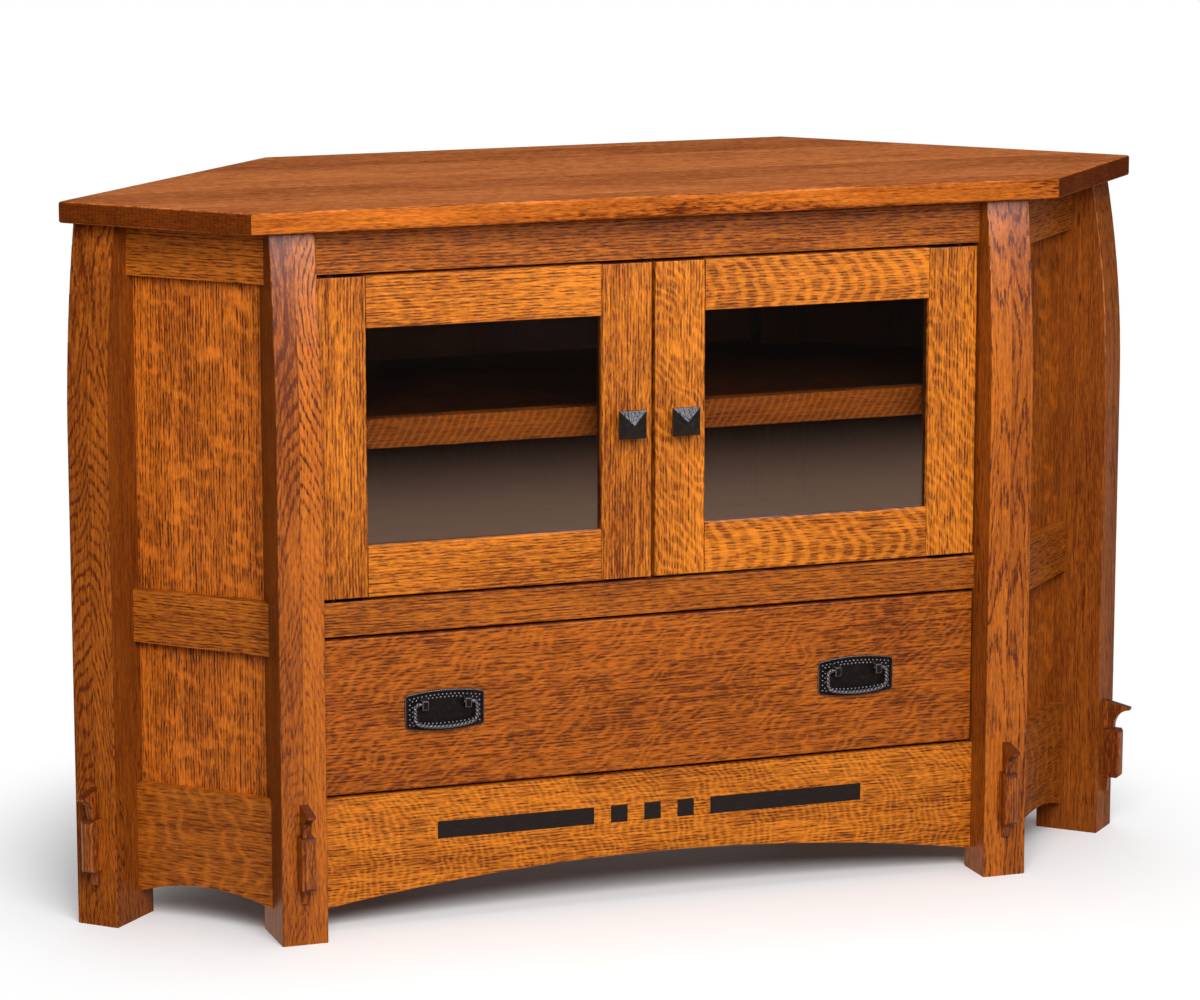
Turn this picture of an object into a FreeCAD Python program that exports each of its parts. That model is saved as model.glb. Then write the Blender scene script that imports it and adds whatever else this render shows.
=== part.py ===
import FreeCAD, Part
import math
import os

Vector = FreeCAD.Vector

# Corner cabinet in the mission style, all sizes in millimetres.
# X runs to the right, Y towards the corner of the room, Z up.
# The origin is on the floor, under the middle of the whole cabinet.

# The hexagonal top
total_height = 813.0
top_thickness = 24.0
top_front_half = 471.0
cant_run = 170.0
top_depth = 486.0
top_edge_round = 3.0

# Legs, each glued up from two boards, with one curved outward face
leg_width = 52.0
leg_depth = 76.0
leg_overhang = 4.5
front_leg_inset = 25.0
rear_leg_back_inset = 1.0
leg_curve_height = 239.0
leg_curve_recess = 22.0
leg_edge_round = 1.5

# Rails between the legs
frame_thickness = 22.0
front_setback = 39.5
side_setback = 46.0
front_top_rail_height = 52.0
front_mid_rail_height = 38.5
front_mid_rail_top = 373.5
apron_bottom = 25.5
apron_top = 152.0
apron_rise = 32.0
side_top_rail_height = 60.0
side_mid_rail_top = 378.0
side_mid_rail_height = 59.5
side_bottom_rail_bottom = 31.0
side_bottom_rail_top = 156.5
side_bottom_rail_rise = 15.0
rail_edge_round = 1.0
stub_length = 14.0
stub_thickness = 8.0
stub_setback = 3.0
stub_shoulder = 8.0
tongue_depth = 9.0

# Panels in the canted sides and at the back
side_panel_thickness = 6.0
side_panel_setback = 13.0
panel_housing = 6.0
back_panel_thickness = 6.0
back_inset = 10.0
back_post_width = 40.0
back_top_rail_height = 60.0
back_rabbet = 8.0

# Floor bearers and back rails with wedged through tenons
bearer_thickness = 22.0
bearer_height = 72.0
tenon_thickness = 16.0
tenon_height = 59.0
tenon_lower_shoulder = 4.0
tenon_reach = 21.0
tenon_chamfer = 3.0
wedge_thickness = 9.5
wedge_tip_thickness = 4.5
wedge_neck = 12.0
wedge_horn_reach = 31.0
wedge_horn_drop = 6.5
wedge_horn_face = 3.0
wedge_below_tenon = 18.0
wedge_above_tenon = 34.5
wedge_neck_rise = 7.0
wedge_edge_round = 0.8

# Inlaid bars and squares in the apron
inlay_depth = 2.0
inlay_square = 20.0
inlay_gap = 20.0
inlay_bar_length = 185.0
inlay_drop = 36.5

# Boards inside
floor_thickness = 18.0
deck_thickness = 18.0
bay_side_thickness = 18.0
shelf_thickness = 19.0
shelf_nosing_height = 32.5
shelf_nosing_thickness = 19.0
shelf_setback = 20.0
shelf_height = 194.0
pin_radius = 2.5
pin_embed = 10.0
pin_reach = 10.0
cleat_width = 19.0

# Glazed doors
door_thickness = 20.0
door_side_gap = 2.2
door_meeting_gap = 4.4
door_end_gap = 3.5
door_stile_width = 59.0
door_rail_height = 57.5
door_edge_round = 1.2
glass_setback = 7.0
glass_thickness = 3.0
glass_rebate = 8.0
glass_play = 0.5
stop_depth = 7.0
door_tenon_length = 25.0
door_tenon_thickness = 6.0
door_tenon_setback = 8.0
door_tenon_shoulder = 6.0

# Pivot hinges let into the ends of the doors
pivot_edge_distance = 20.0
pivot_face_distance = 7.5
pivot_pin_radius = 2.0
pivot_pin_depth = 2.0
pivot_clearance = 0.05
hinge_leaf_width = 10.0
hinge_leaf_long = 34.0
hinge_leaf_short = 9.0
hinge_leaf_thickness = 2.5
hinge_washer_radius = 4.5

# Magnetic catch behind the meeting stiles
catch_width = 90.0
catch_depth = 15.0
catch_height = 26.0
catch_lap = 13.0
strike_width = 26.0
strike_height = 12.0
strike_thickness = 1.5

# Square knobs
knob_size = 31.75
knob_projection = 27.0
knob_point = 5.5
knob_rim = 4.0
knob_flare = 7.0
knob_neck_radius = 5.5
knob_foot_radius = 9.0
knob_foot_thickness = 3.0
screw_radius = 2.0
screw_head_radius = 4.0
screw_head_height = 2.2

# Drawer
drawer_front_thickness = 20.0
drawer_end_gap = 4.0
drawer_back_room = 66.0
drawer_box_height = 130.0
drawer_box_lift = 10.0
drawer_side_thickness = 12.0
drawer_bottom_thickness = 6.0
drawer_bottom_lift = 8.0
drawer_groove = 6.0
slide_space = 12.7
slide_height = 45.0
slide_wall = 1.6
slide_lip = 9.0
slide_rise = 46.0
slide_end_gap = 2.0

# Bail pulls
pull_inset = 145.3
plate_width = 92.0
plate_side_height = 38.0
plate_bow = 4.5
plate_thickness = 2.4
post_spread = 25.0
post_radius = 5.0
post_rise = 9.5
post_length = 12.0
bail_stand = 8.0
bail_radius = 2.4
bail_pin_radius = 1.5
bail_half_width = 36.0
bail_drop = 27.0
bail_top_bend = 5.0
bail_corner_bend = 9.0
bail_bow_angle = 12.0
bail_pin_clearance = 0.05
bail_side_play = 0.3

# Fits shared by all the pieces
fit = 0.2
board_gap = 0.3
overrun = 5.0

# Places that follow from the sizes above
half_angle = 22.5
cant_angle = 2 * half_angle
root_two = math.sqrt(2)
skew = math.tan(math.radians(half_angle))
leg_top = total_height - top_thickness
far = 2 * total_height
front_y = -(top_depth + leg_overhang - wedge_horn_reach) / 2
back_y = front_y + top_depth
leg_face_y = front_y + leg_overhang
leg_outer_x = top_front_half - front_leg_inset
leg_inner_x = leg_outer_x - leg_width
leg_skew = leg_width * skew
frame_y = leg_face_y + front_setback
frame_back_y = frame_y + frame_thickness
cant_length = cant_run * root_two
rear_leg_u = cant_length - rear_leg_back_inset - leg_width
leg_back_v = leg_overhang + leg_depth
side_v = leg_overhang + side_setback
side_back_v = side_v + frame_thickness
tenon_top = apron_top - floor_thickness - bearer_height + tenon_lower_shoulder + tenon_height
tenon_bottom = tenon_top - tenon_height
bearer_top = apron_top - floor_thickness
bearer_bottom = bearer_top - bearer_height
back_rail_u = rear_leg_u + (leg_width - bearer_thickness) / 2
back_panel_u = back_rail_u + bearer_thickness
back_outer_u = back_panel_u + back_panel_thickness
back_outer_y = back_y - back_inset
back_panel_y = back_outer_y - back_panel_thickness
back_rail_y = back_panel_y - bearer_thickness
post_x = top_front_half + back_outer_u * root_two - (back_outer_y - front_y)
post_near_x = post_x - back_post_width
post_v = (back_outer_y - front_y) * root_two - back_outer_u - back_post_width
top_rail_bottom = leg_top - front_top_rail_height
mid_rail_bottom = front_mid_rail_top - front_mid_rail_height
deck_bottom = front_mid_rail_top - deck_thickness
shelf_top = front_mid_rail_top + shelf_height
shelf_bottom = shelf_top - shelf_thickness
nosing_bottom = shelf_top - shelf_nosing_height
shelf_y = frame_back_y + shelf_setback

door_inner_x = door_meeting_gap / 2
door_outer_x = leg_inner_x - door_side_gap
door_bottom = front_mid_rail_top + door_end_gap
door_top = top_rail_bottom - door_end_gap
door_middle = (door_bottom + door_top) / 2
glass_x = (door_inner_x + door_stile_width, door_outer_x - door_stile_width)
glass_z = (door_bottom + door_rail_height, door_top - door_rail_height)
glass_y = frame_y + glass_setback
pivot_x = door_outer_x - pivot_edge_distance
pivot_y = frame_y + pivot_face_distance
knob_x = door_inner_x + door_stile_width / 2

drawer_bottom_z = apron_top + drawer_end_gap
drawer_top_z = mid_rail_bottom - drawer_end_gap
drawer_middle = (drawer_bottom_z + drawer_top_z) / 2
drawer_half = leg_inner_x - door_side_gap
drawer_back_y = frame_y + drawer_front_thickness
box_outer_x = leg_inner_x - slide_space
box_inner_x = box_outer_x - drawer_side_thickness
box_z = (apron_top + drawer_box_lift, apron_top + drawer_box_lift + drawer_box_height)
box_end_y = back_outer_y - back_post_width - drawer_back_room
slide_bottom = apron_top + slide_rise
slide_y = (frame_back_y + slide_end_gap, box_end_y - slide_end_gap)
pull_x = drawer_half - pull_inset
pull_axis_z = drawer_middle + post_rise

origin = Vector(0, 0, 0)
up = Vector(0, 0, 1)
across = Vector(1, 0, 0)


def box(x, y, z, grow=0.0):
    """Box between two places on each axis, made larger all round by grow."""
    size = [high - low + 2 * grow for low, high in (x, y, z)]
    return Part.makeBox(*size, Vector(x[0] - grow, y[0] - grow, z[0] - grow))


def middle(centre, size):
    """The two ends of a size laid evenly about a place."""
    return (centre - size / 2, centre + size / 2)


def prism(points, z):
    """Upright solid over a plan outline."""
    corners = [Vector(x, y, z[0]) for x, y in points]
    face = Part.Face(Part.makePolygon(corners + corners[:1]))
    return face.extrude(Vector(0, 0, z[1] - z[0]))


def cut(shape, tools):
    """The shape with all the tools taken out of it."""
    return shape.cut(tools).removeSplitter()


def joined(*shapes):
    """One solid made of pieces that share a face."""
    whole = shapes[0]
    for shape in shapes[1:]:
        whole = whole.fuse(shape)
    return whole.removeSplitter()


def to_side(shape):
    """Moves a shape from the right canted side's own axes to the cabinet's."""
    moved = shape.copy()
    moved.rotate(origin, up, cant_angle)
    moved.translate(Vector(top_front_half, front_y, 0))
    return moved


def mirrored(shapes):
    """The left hand twin of pieces made for the right."""
    return [shape.mirror(origin, across) for shape in shapes]


def write(name, shapes):
    """Saves one named sub-part."""
    shape = shapes[0] if len(shapes) == 1 else Part.makeCompound(shapes)
    shape.exportStep("parts/" + name + ".step")
    print(name, len(shape.Solids), round(shape.Volume / 1000), "cm3")


def eased(shape, radius, test):
    """Rounds the edges whose two ends both pass the test."""
    edges = [e for e in shape.Edges if all(test(v.Point) for v in e.Vertexes)]
    return shape.makeFillet(radius, edges)


def near(value, place):
    """True where a coordinate lies at a named place."""
    return abs(value - place) < fit / 2


# The top

def top_panel():
    """Hexagonal top whose rear edges fit the corner of a room."""
    side_x = top_front_half + cant_run
    back_x = side_x - (top_depth - cant_run)
    right = [(top_front_half, front_y), (side_x, front_y + cant_run), (back_x, back_y)]
    left = [(-x, y) for x, y in reversed(right)]
    slab = prism(right + left, (leg_top, total_height))
    rims = [e for e in slab.Edges if near(e.BoundBox.ZLength, 0)]
    return [slab.makeFillet(top_edge_round, rims)]


# Legs

def leg_board(start, stop, eased_side):
    """One board of a leg, outward face at depth 0, curved back near its top."""
    radius = (leg_curve_height ** 2 + leg_curve_recess ** 2) / (2 * leg_curve_recess)
    turn = math.asin(leg_curve_height / radius)
    bend_z = leg_top - leg_curve_height
    halfway = Vector(start, radius * (1 - math.cos(turn / 2)), bend_z + radius * math.sin(turn / 2))
    foot = Vector(start, 0, 0)
    bend = Vector(start, 0, bend_z)
    head = Vector(start, leg_curve_recess, leg_top)
    back_head = Vector(start, leg_depth, leg_top)
    back_foot = Vector(start, leg_depth, 0)
    edges = [Part.makeLine(foot, bend), Part.Arc(bend, halfway, head).toShape()]
    edges += [Part.makeLine(head, back_head), Part.makeLine(back_head, back_foot)]
    edges += [Part.makeLine(back_foot, foot)]
    board = Part.Face(Part.Wire(edges)).extrude(Vector(stop - start, 0, 0))
    return eased(board, leg_edge_round, lambda p: near(p.x, eased_side) and p.y < leg_curve_recess + fit)


def leg_boards():
    """The two boards of a leg, side by side in the leg's own axes."""
    half = leg_width / 2
    return [leg_board(0, half, 0), leg_board(half, leg_width, leg_width)]


def at_front_leg(shape):
    """Moves a shape from a leg's own axes to the right front leg."""
    moved = shape.copy()
    moved.translate(Vector(leg_inner_x, leg_face_y, 0))
    return moved


def at_rear_leg(shape):
    """Moves a shape from a leg's own axes to the right rear leg."""
    moved = shape.copy()
    moved.translate(Vector(rear_leg_u, leg_overhang, 0))
    return to_side(moved)


def front_leg_back():
    """All that lies behind the slanted back of a front leg."""
    reach = overrun * skew
    near_y = leg_depth - leg_skew - reach
    far_y = leg_depth + reach
    wide = leg_width + overrun
    back = [(-overrun, near_y), (wide, far_y), (wide, far_y + leg_depth), (-overrun, far_y + leg_depth)]
    return at_front_leg(prism(back, (-overrun, total_height)))


def front_leg_plan(grow):
    """Plain post in the place of a front leg, for notches."""
    post = box((0, leg_width), (0, leg_depth), (0, leg_top), grow)
    behind = front_leg_back()
    behind.translate(Vector(0, grow, 0))
    return cut(at_front_leg(post), [behind])


def rear_leg_plan(grow):
    """Plain post in the place of a rear leg, for notches."""
    return at_rear_leg(box((0, leg_width), (0, leg_depth), (0, leg_top), grow))


def through_tenon(grow):
    """The tenon that passes through a leg, in the leg's own axes."""
    x = middle(leg_width / 2, tenon_thickness)
    return box(x, (-tenon_reach, leg_depth + overrun), (tenon_bottom, tenon_top), grow)


def front_leg():
    """Right front leg with its mortises and grooves."""
    tools = [front_leg_back(), at_front_leg(through_tenon(fit))]
    tools += [front_stubs(z, fit) for z in front_rail_heights()]
    tools += [side_tongue(z, fit) for z in side_rail_heights()]
    tools += [side_panel(z, fit) for z in side_panel_heights()]
    tools += [front_pin(fit / 2)]
    return [cut(at_front_leg(board), tools) for board in leg_boards()]


def rear_leg():
    """Right rear leg with its mortises and grooves."""
    tools = [at_rear_leg(through_tenon(fit)), diagonal_stub(fit), diagonal_panel(fit)]
    tools += [side_stub(z, fit) for z in side_rail_heights()]
    tools += [side_panel(z, fit) for z in side_panel_heights()]
    tools += [rear_pin(fit / 2)]
    return [cut(at_rear_leg(board), tools) for board in leg_boards()]


# Front rails and apron

def front_rail_heights():
    """Bottom and top of the three pieces between the front legs."""
    return [(top_rail_bottom, leg_top), (mid_rail_bottom, front_mid_rail_top), (apron_bottom, apron_top)]


def front_stubs(z, grow):
    """Bar that forms the stub tenons at both ends of a front rail."""
    long = leg_inner_x + stub_length
    y = (frame_y + stub_setback, frame_y + stub_setback + stub_thickness)
    return box((-long, long), y, (z[0] + stub_shoulder, z[1] - stub_shoulder), grow)


def front_rail(z, tools):
    """A rail between the front legs, eased along its front edges."""
    rail = box((-leg_inner_x, leg_inner_x), (frame_y, frame_back_y), z)
    rail = eased(rail, rail_edge_round, lambda p: near(p.y, frame_y) and near(abs(p.x), leg_inner_x))
    return [cut(joined(rail, front_stubs(z, 0)), tools)]


def arch(half, bottom, rise, y):
    """Shallow arch cutter, flat at its foot and bowed up in the middle."""
    ends = [Vector(-half, y[0], bottom), Vector(half, y[0], bottom)]
    low = [Vector(-half, y[0], bottom - overrun), Vector(half, y[0], bottom - overrun)]
    bow = Part.Arc(ends[0], Vector(0, y[0], bottom + rise), ends[1]).toShape()
    lines = [Part.makeLine(ends[1], low[1]), Part.makeLine(low[1], low[0]), Part.makeLine(low[0], ends[0])]
    return Part.Face(Part.Wire([bow] + lines)).extrude(Vector(0, y[1] - y[0], 0))


def inlays(depth):
    """Dark bars and squares let into the apron's face."""
    z = (apron_top - inlay_drop - inlay_square, apron_top - inlay_drop)
    y = (frame_y, frame_y + depth)
    pitch = inlay_square + inlay_gap
    pieces = [box(middle(step * pitch, inlay_square), y, z) for step in (-1, 0, 1)]
    bar_start = inlay_square * 1.5 + inlay_gap * 2
    pieces += [box((bar_start, bar_start + inlay_bar_length), y, z)]
    pieces += [box((-bar_start - inlay_bar_length, -bar_start), y, z)]
    return pieces


def front_apron():
    """Arched bottom rail of the front, pocketed for the inlay."""
    y = (frame_y - overrun, frame_back_y + overrun)
    span = leg_inner_x
    rail = box((-span, span), (frame_y, frame_back_y), (apron_bottom, apron_top))
    body = joined(rail, front_stubs((apron_bottom, apron_top), 0))
    return [cut(body, [arch(span, apron_bottom, apron_rise, y)] + inlays(inlay_depth))]


# Canted sides

def side_rail_heights():
    """Bottom and top of the three rails in a canted side."""
    mid = (side_mid_rail_top - side_mid_rail_height, side_mid_rail_top)
    return [(leg_top - side_top_rail_height, leg_top), mid, (side_bottom_rail_bottom, side_bottom_rail_top)]


def side_panel_heights():
    """Bottom and top of the two openings that the side panels fill."""
    top, mid, bottom = side_rail_heights()
    return [(mid[1], top[0]), (bottom[1], mid[0])]


def inside_leg(x_limit):
    """All that lies on the middle's side of a plane along the front leg."""
    return box((x_limit - far, x_limit), (-far, far), (-far, far))


def side_bar(u_end, v, z, x_limit, grow):
    """Bar along the canted side, cut square to the front leg's flank."""
    bar = to_side(box((-leg_width, u_end), v, z, grow))
    return bar.cut(inside_leg(x_limit - grow))


def side_tongue(z, grow):
    """Tongue of a side rail in the front leg's flank."""
    v = (side_v + stub_setback, side_v + stub_setback + stub_thickness)
    shoulder = (z[0] + stub_shoulder, z[1] - stub_shoulder)
    return side_bar(rear_leg_u - overrun, v, shoulder, leg_outer_x - tongue_depth, grow)


def side_stub(z, grow):
    """Stub tenon of a side rail in the rear leg."""
    v = (side_v + stub_setback, side_v + stub_setback + stub_thickness)
    u = (rear_leg_u - overrun, rear_leg_u + stub_length)
    return to_side(box(u, v, (z[0] + stub_shoulder, z[1] - stub_shoulder), grow))


def side_panel(z, grow):
    """Flat panel housed in the legs and rails round it."""
    v = (side_v + side_panel_setback, side_v + side_panel_setback + side_panel_thickness)
    tall = (z[0] - panel_housing, z[1] + panel_housing)
    return side_bar(rear_leg_u + panel_housing, v, tall, leg_outer_x - panel_housing, grow)


def side_rail(z):
    """One rail of a canted side, grooved for its panels."""
    body = side_bar(rear_leg_u, (side_v, side_back_v), z, leg_outer_x, 0)
    whole = joined(body, side_tongue(z, 0), side_stub(z, 0))
    return cut(whole, [side_panel(height, fit) for height in side_panel_heights()])


def side_arch():
    """Cutter for the arch under a canted side."""
    start = side_v - front_leg_inset * root_two
    half = (rear_leg_u - start) / 2
    v = (side_v - overrun, side_back_v + overrun)
    cutter = arch(half, side_bottom_rail_bottom, side_bottom_rail_rise, v)
    cutter.translate(Vector(start + half, 0, 0))
    return to_side(cutter)


# Back: posts, rails and panels

def post_outline(grow):
    """Plan of the right back post, bent to follow both walls."""
    wide = back_post_width + grow
    slope = wide / root_two
    outer = [(-wide, 0), (0, 0), (slope, -slope)]
    inner = [(0, -2 * slope), (-wide * skew, -wide), (-wide, -wide)]
    return [(post_x + x, back_outer_y + y) for x, y in outer + inner]


def back_post():
    """Right back post, which reaches the floor like a leg."""
    post = prism(post_outline(0), (0, leg_top))
    tools = [diagonal_rail_stubs(z, fit) for z in back_rail_heights()]
    tools += [centre_stubs(z, fit) for z in back_rail_heights()]
    tools += [diagonal_panel(0), centre_panel(), post_pin(fit / 2)]
    return [cut(post, tools)]


def back_rail_heights():
    """Bottom and top of the back's two levels of rails."""
    return [(bearer_bottom, bearer_top), (leg_top - back_top_rail_height, leg_top)]


def diagonal_rail_stubs(z, grow):
    """Stub tenon of a diagonal rail in the back post."""
    u = middle(back_rail_u + bearer_thickness / 2, stub_thickness)
    v = (post_v - overrun, post_v + stub_length)
    return to_side(box(u, v, (z[0] + stub_shoulder, z[1] - stub_shoulder), grow))


def diagonal_stub(grow):
    """Stub tenon of the upper diagonal rail in the rear leg."""
    u = middle(back_rail_u + bearer_thickness / 2, stub_thickness)
    v = (leg_back_v - stub_length, leg_back_v + overrun)
    z = back_rail_heights()[1]
    return to_side(box(u, v, (z[0] + stub_shoulder, z[1] - stub_shoulder), grow))


def diagonal_rail(z):
    """Rail from the rear leg to the back post, along the room's wall."""
    body = to_side(box((back_rail_u, back_panel_u), (leg_back_v, post_v), z))
    return joined(body, diagonal_rail_stubs(z, 0))


def wedge_line(z):
    """How far the wedge's outer side stands from the leg at a height."""
    low = tenon_bottom - wedge_below_tenon
    high = tenon_top + wedge_neck_rise
    return wedge_tip_thickness + (wedge_neck - wedge_tip_thickness) * (z - low) / (high - low)


def wedge_slot():
    """Tapered mortise for the wedge, in a leg's own axes."""
    low = tenon_bottom - overrun
    high = tenon_top + overrun
    corners = [(fit, low), (-wedge_line(low) - fit, low), (-wedge_line(high) - fit, high), (fit, high)]
    start = leg_width / 2 - wedge_thickness / 2 - fit
    points = [Vector(start, y, z) for y, z in corners]
    face = Part.Face(Part.makePolygon(points + points[:1]))
    return face.extrude(Vector(wedge_thickness + 2 * fit, 0, 0))


def tusk_tenon():
    """Through tenon with a chamfered end and a slot for its wedge."""
    tenon = through_tenon(0)
    end = [e for e in tenon.Edges if all(near(v.Point.y, -tenon_reach) for v in e.Vertexes)]
    return tenon.makeChamfer(tenon_chamfer, end).cut(wedge_slot())


def wedge():
    """Tapered key with a flared horn, in a leg's own axes."""
    start = leg_width / 2 - wedge_thickness / 2
    low = tenon_bottom - wedge_below_tenon
    neck_z = tenon_top + wedge_neck_rise
    top = tenon_top + wedge_above_tenon
    tip = Vector(start, 0, low)
    tip_out = Vector(start, -wedge_tip_thickness, low)
    neck = Vector(start, -wedge_neck, neck_z)
    horn_top = Vector(start, -wedge_horn_reach, top - wedge_horn_drop)
    horn_low = Vector(start, -wedge_horn_reach, top - wedge_horn_drop - wedge_horn_face)
    bow = Vector(start, -(wedge_neck * 2 + wedge_horn_reach) / 3, neck_z + (horn_low.z - neck_z) * 2 / 3)
    crown = Vector(start, 0, top)
    edges = [Part.makeLine(tip, tip_out), Part.makeLine(tip_out, neck)]
    edges += [Part.Arc(neck, bow, horn_low).toShape(), Part.makeLine(horn_low, horn_top)]
    edges += [Part.makeLine(horn_top, crown), Part.makeLine(crown, tip)]
    blank = Part.Face(Part.Wire(edges)).extrude(Vector(wedge_thickness, 0, 0))
    corners = [e for e in blank.Edges if e.BoundBox.YMax < -fit and near(e.BoundBox.XLength, 0)]
    return blank.makeFillet(wedge_edge_round, corners)


def floor_bearer():
    """Bearer from the front leg back to the diagonal rail, with its tusk tenon."""
    x = middle(leg_width / 2, bearer_thickness)
    length = top_depth
    body = at_front_leg(box(x, (0, length), (bearer_bottom, bearer_top)))
    behind = to_side(box((back_rail_u, far), (-far, far), (-far, far)))
    body = body.cut([front_leg_plan(0), behind])
    ahead = [solid for solid in body.Solids if solid.CenterOfMass.y > leg_face_y]
    tenon = at_front_leg(tusk_tenon())
    return [joined(ahead[0], tenon.cut([front_leg_back()]))]


def lower_back_rails():
    """Lower rails round the back, with tusk tenons out of the rear legs."""
    z = back_rail_heights()[0]
    right = joined(diagonal_rail(z), at_rear_leg(tusk_tenon()))
    return [right] + mirrored([right]) + [centre_rail(z)]


def upper_back_rails():
    """Upper rails round the back, which carry the top."""
    z = back_rail_heights()[1]
    right = joined(diagonal_rail(z), diagonal_stub(0))
    return [right] + mirrored([right]) + [centre_rail(z)]


def centre_stubs(z, grow):
    """Bar that forms the stub tenons at both ends of a centre back rail."""
    long = post_near_x + stub_length
    y = middle(back_rail_y + bearer_thickness / 2, stub_thickness)
    return box((-long, long), y, (z[0] + stub_shoulder, z[1] - stub_shoulder), grow)


def centre_rail(z):
    """Rail between the two back posts."""
    body = box((-post_near_x, post_near_x), (back_rail_y, back_panel_y), z)
    return joined(body, centre_stubs(z, 0))


def diagonal_panel(grow):
    """Back panel along the wall, housed in the rear leg and the post."""
    v = (leg_back_v - back_rabbet, post_v + back_rabbet)
    return to_side(box((back_panel_u, back_outer_u), v, (bearer_bottom, leg_top), grow))


def centre_panel():
    """Back panel between the two posts."""
    half = post_near_x + back_rabbet
    return box((-half, half), (back_panel_y, back_outer_y), (bearer_bottom, leg_top))


# Boards inside the cabinet

def board_outline(front, side, u_end, y_end):
    """Plan of a board that fills the cabinet, from a front line to the back."""
    front_x = top_front_half + (front - front_y) - side * root_two
    corner = to_side(Part.Vertex(Vector(u_end, side, 0))).Point
    back_x = top_front_half + u_end * root_two - (y_end - front_y)
    right = [(front_x, front), (corner.x, corner.y), (back_x, y_end)]
    return right + [(-x, y) for x, y in reversed(right)]


def notches():
    """Plain posts that every full board is notched round."""
    right = [front_leg_plan(board_gap), rear_leg_plan(board_gap)]
    right += [prism(post_outline(board_gap), (0, leg_top))]
    return right + mirrored(right)


def full_board(front, side, z):
    """Board from side to side, notched round legs and posts."""
    u_end = back_panel_u - board_gap
    outline = board_outline(front, side + board_gap, u_end, back_panel_y - board_gap)
    return cut(prism(outline, z), notches())


def bay_side():
    """Upright beside the drawer, which carries the deck and a slide."""
    leg_back = leg_face_y + leg_depth - leg_skew * (1 - bay_side_thickness / leg_width)
    end = top_front_half + back_panel_u * root_two - leg_inner_x - bay_side_thickness + front_y
    y = (leg_back + board_gap, end - board_gap)
    upright = box((leg_inner_x, leg_inner_x + bay_side_thickness), y, (apron_top, deck_bottom))
    return [cut(upright, notches())]


def shelf_nosing():
    """Thick front edge of the shelf, seen through the glass."""
    y = (shelf_y, shelf_y + shelf_nosing_thickness)
    side = side_v + side_panel_setback + side_panel_thickness + board_gap
    half = top_front_half + (shelf_y - front_y) - side * root_two
    strip = box((-half, half), y, (nosing_bottom, shelf_top))
    return [cut(strip, notches())]


def shelf_board():
    """Adjustable shelf behind its nosing."""
    side = side_v + side_panel_setback + side_panel_thickness
    return [full_board(shelf_y + shelf_nosing_thickness, side, (shelf_bottom, shelf_top))]


def pin(start, stop, grow):
    """Round shelf pin between two points, larger by grow in its hole."""
    way = stop - start
    return Part.makeCylinder(pin_radius + grow, way.Length, start, way)


def front_pin(grow):
    """Pin in the back of the front leg, under the shelf's nosing."""
    x = leg_width * 3 / 4
    back = leg_depth - leg_skew / 4
    tip = shelf_y - leg_face_y + pin_reach
    z = nosing_bottom - pin_radius
    return at_front_leg(pin(Vector(x, back - pin_embed, z), Vector(x, tip, z), grow))


def rear_pin(grow):
    """Pin in the rear leg, under the shelf's side."""
    x = leg_width / 4
    z = shelf_bottom - pin_radius
    return at_rear_leg(pin(Vector(x, leg_depth - pin_embed, z), Vector(x, leg_depth + pin_reach, z), grow))


def post_pin(grow):
    """Pin in the back post, under the shelf's back."""
    x = post_x - back_post_width * 3 / 4
    y = back_outer_y - back_post_width
    z = shelf_bottom - pin_radius
    return pin(Vector(x, y + pin_embed, z), Vector(x, y - pin_reach, z), grow)


def shelf_pins():
    """Six pins that carry the shelf."""
    right = [front_pin(0), rear_pin(0), post_pin(0)]
    return right + mirrored(right)


def top_cleats():
    """Cleats that hold the top down on the rails."""
    z = (leg_top - cleat_width, leg_top)
    front = box((-box_inner_x, box_inner_x), (frame_back_y, frame_back_y + cleat_width), z)
    back = box(middle(0, post_near_x), (back_rail_y - cleat_width, back_rail_y), z)
    u = (side_back_v, rear_leg_u - overrun)
    side = to_side(box(u, (side_back_v, side_back_v + cleat_width), z))
    side = side.cut([front_leg_plan(board_gap)])
    return [front, back, side] + mirrored([side])


# Doors, made for the right and mirrored for the left

def door_rebate():
    """Rebate behind the glass opening of a door."""
    x = (glass_x[0] - glass_rebate, glass_x[1] + glass_rebate)
    z = (glass_z[0] - glass_rebate, glass_z[1] + glass_rebate)
    return box(x, (glass_y, frame_y + door_thickness + overrun), z)


def door_rail_tenons(z, grow):
    """Bar that forms the tenons at both ends of a door rail."""
    long = (glass_x[0] - door_tenon_length, glass_x[1] + door_tenon_length)
    y = (frame_y + door_tenon_setback, frame_y + door_tenon_setback + door_tenon_thickness)
    return box(long, y, z, grow)


def door_tenon_heights():
    """Heights of the tenons, clear of the rebate."""
    inset = glass_rebate + door_tenon_shoulder
    low = (door_bottom + door_tenon_shoulder, door_bottom + door_rail_height - inset)
    high = (door_top - door_rail_height + inset, door_top - door_tenon_shoulder)
    return [low, high]


def door_stiles():
    """Meeting stile and hinge stile of the right door."""
    y = (frame_y, frame_y + door_thickness)
    tools = [door_rebate(), hinge_pocket(True), hinge_pocket(False), knob_hole()]
    tools += [door_rail_tenons(z, fit) for z in door_tenon_heights()]
    stiles = []
    for x in ((door_inner_x, glass_x[0]), (glass_x[1], door_outer_x)):
        stile = box(x, y, (door_bottom, door_top))
        stile = eased(stile, door_edge_round, lambda p: near(p.y, frame_y))
        stiles.append(cut(stile, tools))
    return stiles


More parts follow.
